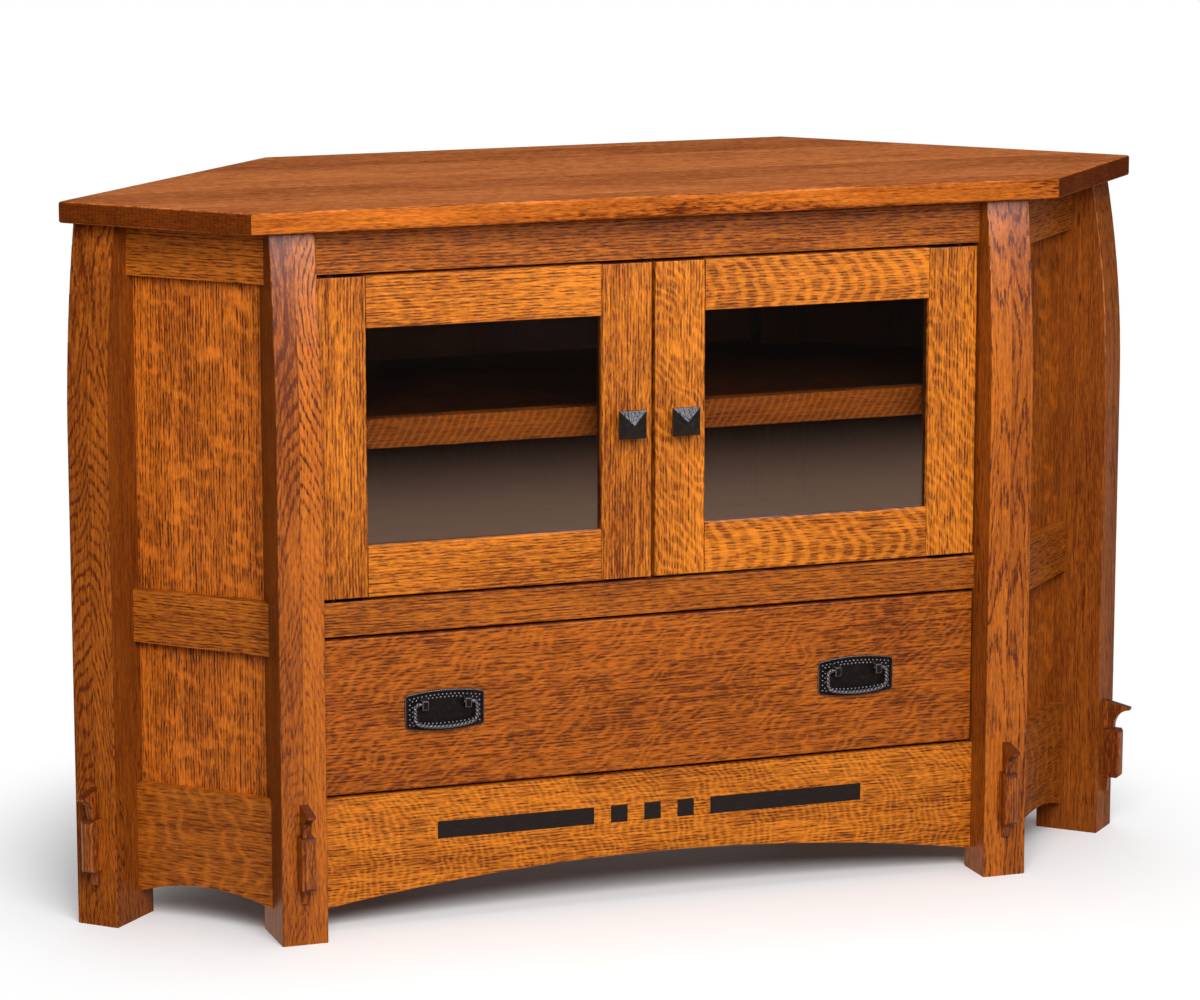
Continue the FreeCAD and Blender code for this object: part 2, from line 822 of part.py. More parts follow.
def door_rails():
    """Bottom and top rail of the right door."""
    y = (frame_y, frame_y + door_thickness)
    rails = []
    levels = [(door_bottom, glass_z[0]), (glass_z[1], door_top)]
    for level, tenon in zip(levels, door_tenon_heights()):
        rail = box(glass_x, y, level)
        rail = eased(rail, door_edge_round, lambda p: near(p.y, frame_y))
        rails.append(joined(rail, door_rail_tenons(tenon, 0)).cut(door_rebate()))
    return rails


def door_glass():
    """Pane in the door's rebate."""
    reach = glass_rebate - glass_play
    x = (glass_x[0] - reach, glass_x[1] + reach)
    z = (glass_z[0] - reach, glass_z[1] + reach)
    return [box(x, (glass_y, glass_y + glass_thickness), z)]


def glass_stops():
    """Four strips that hold the pane in its rebate."""
    y = (glass_y + glass_thickness, glass_y + glass_thickness + stop_depth)
    x = (glass_x[0] - glass_rebate, glass_x[1] + glass_rebate)
    z = (glass_z[0] - glass_rebate, glass_z[1] + glass_rebate)
    strips = [box(x, y, (z[0], glass_z[0])), box(x, y, (glass_z[1], z[1]))]
    strips += [box((x[0], glass_x[0]), y, glass_z), box((glass_x[1], x[1]), y, glass_z)]
    return strips


def knob_hole():
    """Hole in the meeting stile for the knob's screw."""
    start = Vector(knob_x, frame_y - overrun, door_middle)
    return Part.makeCylinder(screw_radius + fit, door_thickness + 2 * overrun, start, Vector(0, 1, 0))


def square_wire(centre_x, y, size):
    """Upright square outline at a depth, for lofts."""
    half = size / 2
    corners = [(-half, -half), (half, -half), (half, half), (-half, half)]
    points = [Vector(centre_x + x, y, door_middle + z) for x, z in corners]
    return Part.makePolygon(points + points[:1])


def knob():
    """Square knob with a low pyramid, on a round neck, with its screw."""
    point_y = frame_y - knob_projection
    rim_y = point_y + knob_point
    back_y_of_rim = rim_y + knob_rim
    neck_y = back_y_of_rim + knob_flare
    tip_size = knob_rim / 4
    faces = [(point_y, tip_size), (rim_y, knob_size), (back_y_of_rim, knob_size)]
    faces += [(neck_y, 2 * knob_neck_radius)]
    slabs = []
    for (y_a, size_a), (y_b, size_b) in zip(faces, faces[1:]):
        wires = [square_wire(knob_x, y_a, size_a), square_wire(knob_x, y_b, size_b)]
        slabs.append(Part.makeLoft(wires, True, True))
    behind = Vector(0, 1, 0)
    neck_start = Vector(knob_x, neck_y, door_middle)
    foot_start = Vector(knob_x, frame_y - knob_foot_thickness, door_middle)
    neck_length = frame_y - knob_foot_thickness - neck_y
    slabs.append(Part.makeCylinder(knob_neck_radius, neck_length, neck_start, behind))
    slabs.append(Part.makeCylinder(knob_foot_radius, knob_foot_thickness, foot_start, behind))
    body = joined(*slabs)
    bore_start = Vector(knob_x, neck_y, door_middle)
    bore = Part.makeCylinder(screw_radius + fit / 2, frame_y - neck_y + overrun, bore_start, behind)
    return [body.cut(bore), screw(knob_x, door_middle, neck_y + fit, frame_y + door_thickness)]


def screw(x, z, tip_y, head_y):
    """Pan head screw along the depth, with its head at the back."""
    behind = Vector(0, 1, 0)
    shank = Part.makeCylinder(screw_radius, head_y - tip_y, Vector(x, tip_y, z), behind)
    head = Part.makeCylinder(screw_head_radius, screw_head_height, Vector(x, head_y, z), behind)
    return joined(shank, head)


# Pivot hinges

def hinge_leaf(z, grow):
    """Flat leaf along a door's or rail's edge, about the pivot."""
    x = (pivot_x - hinge_leaf_long, pivot_x + hinge_leaf_short)
    return box(x, middle(pivot_y, hinge_leaf_width), z, grow)


def hinge_heights(upper):
    """Heights of the frame's leaf and the door's leaf at one end."""
    if upper:
        frame_leaf = (top_rail_bottom, top_rail_bottom + hinge_leaf_thickness)
        return frame_leaf, (door_top - hinge_leaf_thickness, door_top)
    frame_leaf = (front_mid_rail_top - hinge_leaf_thickness, front_mid_rail_top)
    return frame_leaf, (door_bottom, door_bottom + hinge_leaf_thickness)


def pivot_rod(z, radius):
    """Upright rod on the pivot's axis."""
    return Part.makeCylinder(radius, z[1] - z[0], Vector(pivot_x, pivot_y, z[0]), up)


def pin_heights(upper):
    """Reach of a pivot pin from the frame's leaf into the door."""
    if upper:
        return (door_top - hinge_leaf_thickness - pivot_pin_depth, top_rail_bottom + fit)
    return (front_mid_rail_top - fit, door_bottom + hinge_leaf_thickness + pivot_pin_depth)


def frame_leaf(upper):
    """Leaf and pin that stay on the cabinet."""
    return joined(hinge_leaf(hinge_heights(upper)[0], 0), pivot_rod(pin_heights(upper), pivot_pin_radius))


def door_leaf(upper):
    """Leaf with a washer that turns on the pin with the door."""
    leaf = hinge_leaf(hinge_heights(upper)[1], 0)
    above = (door_top, top_rail_bottom - board_gap)
    below = (front_mid_rail_top + board_gap, door_bottom)
    washer = pivot_rod(above if upper else below, hinge_washer_radius)
    hole = pivot_rod((mid_rail_bottom, leg_top), pivot_pin_radius + pivot_clearance)
    return joined(leaf, washer).cut(hole)


def hinge_pocket(upper):
    """Pocket for the door's leaf, with room for the pin below it."""
    low, high = hinge_heights(upper)[1]
    z = (low, high + overrun) if upper else (low - overrun, high)
    deep = pin_heights(upper)
    room = (deep[0] - board_gap, low + fit) if upper else (high - fit, deep[1] + board_gap)
    return hinge_leaf(z, 0).fuse(pivot_rod(room, pivot_pin_radius + board_gap))


def frame_pocket(upper):
    """Pocket for the frame's leaf in a rail."""
    low, high = hinge_heights(upper)[0]
    z = (low - overrun, high) if upper else (low, high + overrun)
    return hinge_leaf(z, 0)


# Catch

def door_catch():
    """Double magnetic catch behind the top rail."""
    y = (frame_back_y, frame_back_y + catch_depth)
    low = top_rail_bottom - catch_lap
    return [box(middle(0, catch_width), y, (low, low + catch_height))]


def strike():
    """Steel strike on the back of the right door."""
    y = (frame_y + door_thickness, frame_y + door_thickness + strike_thickness)
    z = (door_top - strike_height, door_top)
    return box(middle(knob_x, strike_width), y, z)


# Drawer

def drawer_front():
    """Wide inset drawer front."""
    y = (frame_y, drawer_back_y)
    board = box((-drawer_half, drawer_half), y, (drawer_bottom_z, drawer_top_z))
    board = eased(board, door_edge_round, lambda p: near(p.y, frame_y))
    return [board.cut(pull_bores())]


def pull_bores():
    """Screw holes for the posts of both pulls, through front and box."""
    length = drawer_front_thickness + drawer_side_thickness + 2 * overrun
    bores = []
    for centre in (-pull_x, pull_x):
        for x in (centre - post_spread, centre + post_spread):
            start = Vector(x, frame_y - overrun, pull_axis_z)
            bores.append(Part.makeCylinder(screw_radius + fit, length, start, Vector(0, 1, 0)))
    return bores


def drawer_bottom(grow):
    """Panel grooved into the drawer box."""
    half = box_inner_x + drawer_groove
    inset = drawer_side_thickness - drawer_groove
    y = (drawer_back_y + inset, box_end_y - inset)
    low = box_z[0] + drawer_bottom_lift
    return box((-half, half), y, (low, low + drawer_bottom_thickness), grow)


def drawer_box():
    """Sides, inner front and back of the drawer box."""
    x = (-box_inner_x, box_inner_x)
    side = cut(box((box_inner_x, box_outer_x), (drawer_back_y, box_end_y), box_z), [drawer_bottom(fit)])
    front = box(x, (drawer_back_y, drawer_back_y + drawer_side_thickness), box_z)
    back = box(x, (box_end_y - drawer_side_thickness, box_end_y), box_z)
    ends = [cut(front, [drawer_bottom(fit)] + pull_bores()), cut(back, [drawer_bottom(fit)])]
    return [side] + mirrored([side]) + ends


def slide_channel():
    """Fixed half of a drawer slide, on the bay's side."""
    z = (slide_bottom, slide_bottom + slide_height)
    block = box((leg_inner_x - slide_lip, leg_inner_x), slide_y, z)
    hollow_x = (leg_inner_x - slide_lip - overrun, leg_inner_x - slide_wall)
    hollow_y = (slide_y[0] - overrun, slide_y[1] + overrun)
    return block.cut(box(hollow_x, hollow_y, (z[0] + slide_wall, z[1] - slide_wall)))


def slide_runner():
    """Moving half of a drawer slide, on the drawer's side."""
    inset = slide_wall + board_gap
    z = (slide_bottom + inset, slide_bottom + slide_height - inset)
    block = box((box_outer_x, leg_inner_x - slide_wall - board_gap), slide_y, z)
    hollow_x = (box_outer_x + slide_wall, leg_inner_x)
    hollow_y = (slide_y[0] - overrun, slide_y[1] + overrun)
    return block.cut(box(hollow_x, hollow_y, (z[0] + slide_wall, z[1] - slide_wall)))


# Bail pulls, made about the middle and moved to their places

def plate_outline(y):
    """Backplate outline with upright sides and bowed ends."""
    half = plate_width / 2
    high = plate_side_height / 2
    crest = high + plate_bow
    a = Vector(-half, y, -high)
    b = Vector(half, y, -high)
    c = Vector(half, y, high)
    d = Vector(-half, y, high)
    edges = [Part.Arc(a, Vector(0, y, -crest), b).toShape(), Part.makeLine(b, c)]
    edges += [Part.Arc(c, Vector(0, y, crest), d).toShape(), Part.makeLine(d, a)]
    return Part.Face(Part.Wire(edges))


def pull_plate():
    """Backplate with two posts bored for the bail, and their screws."""
    behind = Vector(0, 1, 0)
    depth = drawer_front_thickness + drawer_side_thickness
    pieces = [plate_outline(-plate_thickness).extrude(Vector(0, plate_thickness, 0))]
    screws = []
    bore_start = Vector(-plate_width, -bail_stand, post_rise)
    bores = [Part.makeCylinder(bail_pin_radius + bail_pin_clearance, 2 * plate_width, bore_start, across)]
    for x in (-post_spread, post_spread):
        pieces.append(Part.makeCylinder(post_radius, post_length, Vector(x, -post_length, post_rise), behind))
        screws.append(screw(x, post_rise, -plate_thickness, depth))
        hole_start = Vector(x, -plate_thickness - fit, post_rise)
        bores.append(Part.makeCylinder(screw_radius + fit / 2, plate_thickness + fit, hole_start, behind))
    return [joined(*pieces).cut(bores)] + screws


def bail():
    """Hanging loop whose ends turn in the posts."""
    y = -bail_stand
    top = post_rise
    lean = math.radians(bail_bow_angle)
    arm = bail_half_width
    start = post_spread + post_radius + bail_side_play
    bend = bail_top_bend
    turn = bail_corner_bend
    bow_radius = (arm - turn) / math.sin(lean) + turn
    lowest = top - bail_drop
    turn_z = lowest + bow_radius - (bow_radius - turn) * math.cos(lean)
    bow_x = arm - turn + turn * math.sin(lean)
    half_turn = (math.pi / 2 - lean) / 2

    def place(x, z):
        return Vector(x, y, z)

    def half_path(side):
        """Edges from one post to the bottom bow."""
        up_z = top - bend
        rounded = bend * (1 - math.cos(math.pi / 4))
        top_mid = place(side * (arm - rounded), top - rounded)
        corner_x = arm - turn + turn * math.cos(half_turn)
        corner = place(side * corner_x, turn_z - turn * math.sin(half_turn))
        first = place(side * start, top)
        knee = place(side * (arm - bend), top)
        hip = place(side * arm, up_z)
        low = place(side * arm, turn_z)
        toe = place(side * bow_x, turn_z - turn * math.cos(lean))
        edges = [Part.makeLine(first, knee), Part.Arc(knee, top_mid, hip).toShape()]
        edges += [Part.makeLine(hip, low), Part.Arc(low, corner, toe).toShape()]
        return edges, toe

    left, left_toe = half_path(-1)
    right, right_toe = half_path(1)
    bow = Part.Arc(left_toe, place(0, lowest), right_toe).toShape()
    path = Part.Wire(Part.__sortEdges__(left + [bow] + right))
    ring = Part.Wire([Part.makeCircle(bail_radius, place(-start, top), across)])
    rope = path.makePipeShell([ring], True, False)
    pin_length = start + bail_radius - (post_spread - post_radius)
    starts = (-start - bail_radius, post_spread - post_radius)
    pins = [Part.makeCylinder(bail_pin_radius, pin_length, place(x, top), across) for x in starts]
    return [joined(rope, *pins)]


def at_pull(side, shapes):
    """Moves a pull's pieces to the left or right of the drawer front."""
    for shape in shapes:
        shape.translate(Vector(side * pull_x, frame_y, drawer_middle))
    return shapes


def main():
    """Makes and saves every sub-part."""
    os.makedirs("parts", exist_ok=True)
    write("top_panel", top_panel())
    top_rail, mid_rail, _ = front_rail_heights()
    for name, rail, upper in (("top", top_rail, True), ("mid", mid_rail, False)):
        pocket = frame_pocket(upper)
        write("front_" + name + "_rail", front_rail(rail, [pocket] + mirrored([pocket])))
    write("front_apron", front_apron())
    write("apron_inlay", inlays(inlay_depth))

    sided = {"front_leg": front_leg(), "rear_leg": rear_leg(), "back_post": back_post()}
    for name, height in zip(("top", "mid", "bottom"), side_rail_heights()):
        sided["side_" + name + "_rail"] = [side_rail(height)]
    bottom = sided["side_bottom_rail"][0]
    sided["side_bottom_rail"] = [cut(bottom, [side_arch()])]
    for name, height in zip(("upper", "lower"), side_panel_heights()):
        sided["side_" + name + "_panel"] = [side_panel(height, 0)]
    sided["back_panel"] = [diagonal_panel(0)]
    for name, shapes in sided.items():
        write(name + "_right", shapes)
        write(name + "_left", mirrored(shapes))

    for place_name, move in (("front", at_front_leg), ("rear", at_rear_leg)):
        key = move(wedge())
        write(place_name + "_wedges", [key] + mirrored([key]))
    write("floor_bearers", floor_bearer() + mirrored(floor_bearer()))
    write("lower_back_rails", lower_back_rails())
    write("upper_back_rails", upper_back_rails())
    write("bay_sides", bay_side() + mirrored(bay_side()))
    write("back_panel_centre", [centre_panel()])
    boards = {"cabinet_floor": (bearer_top, apron_top), "media_deck": (deck_bottom, front_mid_rail_top)}
    for name, height in boards.items():
        write(name, [full_board(frame_back_y + board_gap, side_back_v, height)])
    write("shelf_board", shelf_board())
    write("shelf_nosing", shelf_nosing())
    write("shelf_pins", shelf_pins())
    write("top_cleats", top_cleats())
    write("door_catch", door_catch())
    leaves = [frame_leaf(True), frame_leaf(False)]
    write("frame_hinge_leaves", leaves + mirrored(leaves))

    door = {
        "stiles": door_stiles(),
        "rails": door_rails(),
        "glass": door_glass(),
        "glass_stops": glass_stops(),
    }
    door["knob"] = knob()
    door["hinge_leaves"] = [door_leaf(True), door_leaf(False), strike()]
    for name, shapes in door.items():
        write("right_door_" + name, shapes)
        write("left_door_" + name, mirrored(shapes))

    write("drawer_front", drawer_front())
    write("drawer_box", drawer_box())
    write("drawer_bottom", [drawer_bottom(0)])
    channel = slide_channel()
    write("slide_channels", [channel] + mirrored([channel]))
    runner = slide_runner()
    write("slide_runners", [runner] + mirrored([runner]))
    for name, side in (("left", -1), ("right", 1)):
        write(name + "_pull_plate", at_pull(side, pull_plate()))
        write(name + "_bail", at_pull(side, bail()))


main()
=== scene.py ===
import math

import bmesh
import bpy
from bpy.props import FloatProperty, FloatVectorProperty, IntProperty, PointerProperty
from mathutils import Euler, Matrix, Vector, noise


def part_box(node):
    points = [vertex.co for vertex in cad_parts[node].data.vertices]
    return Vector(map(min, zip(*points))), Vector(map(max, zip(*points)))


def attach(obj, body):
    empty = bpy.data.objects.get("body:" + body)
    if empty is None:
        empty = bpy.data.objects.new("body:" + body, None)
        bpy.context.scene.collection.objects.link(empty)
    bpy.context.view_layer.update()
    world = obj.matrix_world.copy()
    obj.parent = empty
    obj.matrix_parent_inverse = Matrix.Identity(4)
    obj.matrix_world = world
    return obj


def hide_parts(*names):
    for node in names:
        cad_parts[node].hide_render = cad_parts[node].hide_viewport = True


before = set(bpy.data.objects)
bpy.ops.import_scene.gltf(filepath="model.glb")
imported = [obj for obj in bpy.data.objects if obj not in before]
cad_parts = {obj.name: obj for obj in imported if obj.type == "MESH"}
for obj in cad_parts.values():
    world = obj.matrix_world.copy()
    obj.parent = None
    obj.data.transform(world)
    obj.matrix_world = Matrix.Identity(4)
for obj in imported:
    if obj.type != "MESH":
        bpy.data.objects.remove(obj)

bl_info = {
    "name": "Corner Cabinet Finish",
    "version": (1, 0, 0),
    "blender": (4, 5, 0),
    "location": "View3D > Sidebar > Cabinet",
    "description": "Finishes a quartersawn oak corner cabinet with forged hardware and a studio",
    "category": "Object",
}

RIGHT = Vector((1, 0, 0))
BACK = Vector((0, 1, 0))
UP = Vector((0, 0, 1))
RIGHT_CANT = (RIGHT + BACK).normalized()
LEFT_CANT = (RIGHT - BACK).normalized()
ORIGIN = Vector()
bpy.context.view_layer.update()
MM = 0.001


# Settings that a user would change

def surface_colour(name, description, colour):
    """Setting of a stain's or a metal's colour."""
    return FloatVectorProperty(
        name=name, description=description, default=colour, subtype="COLOR", min=0, max=1)


def small_size(name, description, millimetres):
    """Setting of a small size, given in millimetres."""
    return FloatProperty(
        name=name, description=description, default=millimetres * MM, subtype="DISTANCE", min=0)


def lamp_power(name, description, watts):
    """Setting of a lamp's power."""
    return FloatProperty(name=name, description=description, default=watts, unit="POWER", min=0)


class CabinetStain(bpy.types.PropertyGroup):
    """Stains, each a pair of light and dark wood, and the colours of pores, inlay and iron; the inside stain
    holds painted shade, the top's light wood a painted sheen, and the worn and rubbed iron painted
    highlights.
    """

    door_light: surface_colour("Door light", "Light wood of the doors and the apron", (0.74, 0.224, 0.017))
    door_dark: surface_colour("Door dark", "Dark grain of the doors and the apron", (0.14, 0.023, 0.002))
    front_light: surface_colour("Front light", "Light wood of the front rails", (0.5, 0.138, 0.0125))
    front_dark: surface_colour("Front dark", "Dark grain of the front rails", (0.1, 0.017, 0.0016))
    drawer_light: surface_colour("Drawer light", "Light wood of the drawer front", (0.49, 0.124, 0.0105))
    drawer_dark: surface_colour("Drawer dark", "Dark grain of the drawer front", (0.09, 0.015, 0.0015))
    leg_light: surface_colour("Leg light", "Light wood of the legs", (0.55, 0.144, 0.012))
    leg_dark: surface_colour("Leg dark", "Dark grain of the legs", (0.12, 0.021, 0.002))
    side_light: surface_colour("Side light", "Light wood of the canted sides", (0.7, 0.182, 0.017))
    side_dark: surface_colour("Side dark", "Dark grain of the canted sides", (0.115, 0.019, 0.002))
    # The top's light wood is greyer and bluer than the other stains: wood colour with a painted sheen,
    # standing for the reflection of the bright surroundings on the flat top.
    top_light: surface_colour("Top light", "Light wood of the top", (0.62, 0.194, 0.050))
    top_dark: surface_colour("Top dark", "Dark grain of the top", (0.2, 0.04, 0.005))
    # Inside stains: wood darkened far below the outer stains to stand for the shade inside the cabinet,
    # painted shade.
    inner_light: surface_colour("Inside light", "Light wood inside the cabinet", (0.075, 0.023, 0.006))
    inner_dark: surface_colour("Inside dark", "Dark grain inside the cabinet", (0.030, 0.009, 0.003))
    maple_light: surface_colour("Drawer box light", "Light wood of the drawer box", (0.66, 0.48, 0.28))
    maple_dark: surface_colour("Drawer box dark", "Darker grain of the drawer box", (0.50, 0.33, 0.17))
    pore: surface_colour("Pores", "Stain gathered in the open pores", (0.050, 0.009, 0.0015))
    inlay: surface_colour("Inlay", "Ebonised wood of the inlaid bars and squares", (0.008, 0.006, 0.006))
    iron: surface_colour("Iron", "Blackened iron of the knobs and plates", (0.004, 0.0035, 0.004))
    # Rubbed iron is lighter both as wear where hands touch and as a painted highlight on the bails, the lugs
    # and the plate's arris.
    rubbed_and_highlight_iron: surface_colour(
        "Rubbed iron", "Iron of the bails, lugs and arrises, which hands have rubbed", (0.060, 0.057, 0.062))
    # Worn iron is lighter both as wear on the beads and as a painted highlight standing for their small
    # glints.
    worn_and_highlight_iron: surface_colour("Worn iron", "Iron worn bright on the beads", (0.20, 0.195, 0.21))


class CabinetHardware(bpy.types.PropertyGroup):
    """Sizes of the details on the knobs and pulls."""

    hammer_depth: small_size("Hammer depth", "Depth of the hammer marks on a knob", 0.22)
    bead_radius: small_size("Bead radius", "Radius of the beads round a plate", 0.95)
    bead_spacing: small_size("Bead spacing", "Distance from bead to bead", 4.6)
    rope_strands: IntProperty(
        name="Strands", description="Strands twisted into a bail",
        default=2, min=2, max=6)
    rope_pitch: small_size("Rope pitch", "Length of one full twist of a bail", 9.0)


class CabinetStudio(bpy.types.PropertyGroup):
    """Camera and lamps."""

    camera_place: FloatVectorProperty(
        name="Camera", description="Where the camera stands",
        default=(-1.689, -4.818, 1.438), subtype="TRANSLATION", unit="LENGTH")
    camera_turn: FloatProperty(
        name="Turn", description="Turn of the camera to the right",
        default=math.radians(19.34), subtype="ANGLE")
    camera_dip: FloatProperty(
        name="Dip", description="Dip of the camera below the horizon",
        default=math.radians(11.17), subtype="ANGLE")
    lens: FloatProperty(
        name="Lens", description="Focal length",
        default=134.7, unit="CAMERA", min=1)
    key_power: lamp_power("Key lamp", "Power of the large lamp before the cabinet", 86.0)
    top_power: lamp_power("Top lamp", "Power of the lamp over the cabinet", 24.0)
    sheen_power: lamp_power("Sheen lamp", "Power of the lamp that shows in the arrises and the iron", 32.0)
    back_power: lamp_power("Back lamp", "Power of the low lamp behind the cabinet", 34.0)
    sky: FloatProperty(
        name="Sky", description="Strength of the light from all round",
        default=0.20, min=0)


# Node trees

class Wiring:
    """Adds nodes to one tree and wires their sockets."""

    def __init__(self, tree):
        self.tree = tree

    def add(self, kind, **settings):
        node = self.tree.nodes.new(kind)
        for name, value in settings.items():
            setattr(node, name, value)
        return node

    def feed(self, socket, value):
        """Links a socket, or gives it a plain value."""
        if isinstance(value, bpy.types.NodeSocket):
            self.tree.links.new(value, socket)
        else:
            socket.default_value = value

    def math(self, operation, *values, clamp=False):
        node = self.add("ShaderNodeMath", operation=operation, use_clamp=clamp)
        for socket, value in zip(node.inputs, values):
            self.feed(socket, value)
        return node.outputs[0]

    def plus(self, a, b, clamp=False):
        return self.math("ADD", a, b, clamp=clamp)

    def minus(self, a, b, clamp=False):
        return self.math("SUBTRACT", a, b, clamp=clamp)

    def times(self, a, b, clamp=False):
        return self.math("MULTIPLY", a, b, clamp=clamp)

    def scaled(self, a, b, c, clamp=False):
        """First value times the second, plus the third."""
        return self.math("MULTIPLY_ADD", a, b, c, clamp=clamp)

    def vector(self, operation, *values):
        node = self.add("ShaderNodeVectorMath", operation=operation)
        for socket, value in zip(node.inputs, values):
            self.feed(socket, value)
        return node.outputs["Value"] if operation == "LENGTH" else node.outputs["Vector"]

    def parts(self, vector):
        node = self.add("ShaderNodeSeparateXYZ")
        self.feed(node.inputs[0], vector)
        return node.outputs

    def join(self, x, y, z):
        node = self.add("ShaderNodeCombineXYZ")
        for socket, value in zip(node.inputs, (x, y, z)):
            self.feed(socket, value)
        return node.outputs[0]

    def noise(self, vector, scales, detail=2.0, roughness=0.5):
        """Noise with its own scale along each axis, in cycles per metre."""
        node = self.add("ShaderNodeTexNoise")
        self.feed(node.inputs["Vector"], self.vector("MULTIPLY", vector, scales))
        self.feed(node.inputs["Scale"], 1.0)
        self.feed(node.inputs["Detail"], detail)
        self.feed(node.inputs["Roughness"], roughness)
        return node.outputs[0]

    def swing(self, vector, scales, detail=2.0, roughness=0.5):
        """The same noise, swinging about zero."""
        return self.minus(self.noise(vector, scales, detail, roughness), 0.5)

    def cells(self, vector, scale):
        """Smooth cells, such as hammer marks."""
        node = self.add("ShaderNodeTexVoronoi", feature="SMOOTH_F1")
        self.feed(node.inputs["Vector"], vector)
        self.feed(node.inputs["Scale"], scale)
        self.feed(node.inputs["Smoothness"], 0.6)
        return node.outputs["Distance"]

    def chance(self, number):
        """A fixed random value from 0 to 1 for each number."""
        node = self.add("ShaderNodeTexWhiteNoise", noise_dimensions="1D")
        self.feed(node.inputs["W"], number)
        return node.outputs["Value"]

    def step(self, value, low, high, bottom=0.0, top=1.0):
        """Smooth step from bottom to top between two values."""
        node = self.add("ShaderNodeMapRange", interpolation_type="SMOOTHSTEP")
        for socket, given in zip(node.inputs, (value, low, high, bottom, top)):
            self.feed(socket, given)
        return node.outputs[0]

    def blend(self, factor, a, b):
        """Mix of two colours."""
        node = self.add("ShaderNodeMix", data_type="RGBA")
        self.feed(node.inputs[0], factor)
        self.feed(node.inputs[6], a)
        self.feed(node.inputs[7], b)
        return node.outputs[2]

    def rays(self):
        """Light path outputs, and 1 for rays that the camera sends straight or through glass."""
        path = self.add("ShaderNodeLightPath").outputs
        bounces = self.plus(path["Diffuse Depth"], path["Glossy Depth"])
        through = self.times(path["Is Transmission Ray"], self.math("LESS_THAN", bounces, 0.5))
        return path, self.math("MAXIMUM", path["Is Camera Ray"], through)

    def bump(self, height, strength, distance):
        node = self.add("ShaderNodeBump")
        self.feed(node.inputs["Height"], height)
        self.feed(node.inputs["Strength"], strength)
        self.feed(node.inputs["Distance"], distance)
        return node.outputs["Normal"]


def new_group(name, inputs, outputs):
    """Node group with named sockets; returns its wiring, inputs and output node."""
    tree = bpy.data.node_groups.new(name, "ShaderNodeTree")
    kinds = {"number": "NodeSocketFloat", "vector": "NodeSocketVector", "colour": "NodeSocketColor"}
    for label, kind in inputs:
        tree.interface.new_socket(name=label, in_out="INPUT", socket_type=kinds[kind])
    for label, kind in outputs:
        tree.interface.new_socket(name=label, in_out="OUTPUT", socket_type=kinds[kind])
    wires = Wiring(tree)
    given = wires.add("NodeGroupInput").outputs
    taken = wires.add("NodeGroupOutput").inputs
    return wires, given, taken


def place_group(wires, name, **values):
    """Node that places a group in a tree, with its values by socket name."""
    node = wires.add("ShaderNodeGroup", node_tree=bpy.data.node_groups[name])
    for label, value in values.items():
        wires.feed(node.inputs[label.replace("_", " ")], value)
    return node.outputs


def build_board_group():
    """Numbers the boards that a wide piece or a leg is glued up from."""
    shift_along = 3.7
    shift_across = 0.31
    joint_core, joint_edge = 0.2 * MM, 0.8 * MM
    inputs = [("Place", "vector")]
    inputs += [(label, "number") for label in ("Board Width", "Seed", "Variation", "Shade Step")]
    outputs = [("Place", "vector"), ("Figure", "vector"), ("Shade", "number"), ("Joint", "number")]
    wires, given, taken = new_group("Glued boards", inputs, outputs)
    x, y, z = wires.parts(given["Place"])
    count = wires.plus(wires.math("DIVIDE", y, given["Board Width"]), 0.5)
    number = wires.math("FLOOR", count)
    share = wires.math("FRACT", count)

    chance = wires.chance(wires.plus(number, given["Seed"]))
    shift = wires.scaled(chance, shift_along, given["Seed"])
    moved_y = wires.plus(y, wires.times(shift, shift_across))
    wires.feed(taken["Place"], wires.join(wires.plus(x, shift), moved_y, z))

    side = wires.math("SIGN", wires.plus(number, 0.5))
    across = wires.times(wires.minus(share, 0.5), given["Board Width"])
    wires.feed(taken["Figure"], wires.join(x, wires.times(across, side), z))
    shade = wires.times(wires.minus(chance, 0.5), given["Variation"])
    wires.feed(taken["Shade"], wires.scaled(side, given["Shade Step"], shade))
    near = wires.times(wires.math("PINGPONG", count, 0.5), given["Board Width"])
    wires.feed(taken["Joint"], wires.step(near, joint_core, joint_edge, 1.0, 0.0))


# Scales of noise in cycles per metre; the oak's run along the grain, across the board and through it

WANDER = (3.0, 14.0, 14.0)
FEATHER = (90.0, 300.0, 300.0)
PORES = (54.0, 430.0, 430.0)
STREAKS = (13.0, 330.0, 330.0)
FINE_STREAKS = (95.0, 660.0, 660.0)
BROAD_TONE = (4.0, 20.0, 20.0)
RAGGED_EDGE = (150.0, 200.0, 200.0)
SWIRL = (15.0, 26.0, 26.0)
PATCHES = (34.0, 24.0, 24.0)
END_SPECKS = (70.0, 70.0, 620.0)
IRON_GRIT = (2600.0, 2600.0, 2600.0)
IRON_RUB = (160.0, 160.0, 160.0)
DRAWN_LINES = (60.0, 60.0, 2400.0)
FINE_PORES = (80.0, 700.0, 700.0)
PANE_WAVES = (7.0, 7.0, 7.0)
FLOOR_CLOUDS = (3.0, 3.0, 3.0)

# Detail and roughness of the noise behind short marks and behind long streaks

SHORT = (2.0, 0.6)
LONG = (3.0, 0.65)

# Where each mark sets in and where it is full, and its strength at either end

RING_OPENS = (0.0, 0.10)
RING_CLOSES = (0.18, 0.50, 1.0, 0.0)
RING_BREAKS = (0.42, 0.56, 0.25, 1.0)
DASHES = (0.535, 0.60)
DASHES_FADE = (0.0, 0.7, 1.0, 0.45)
END_SPECKLE = (0.34, 0.66)
RUBBED_PATCH = (0.52, 0.72)
INLAY_PORES = (0.50, 0.68)
STRIP_FADES = (0.55, 0.85)
PATCH_FADES = (0.06, 0.08)

# Weights of the oak's marks

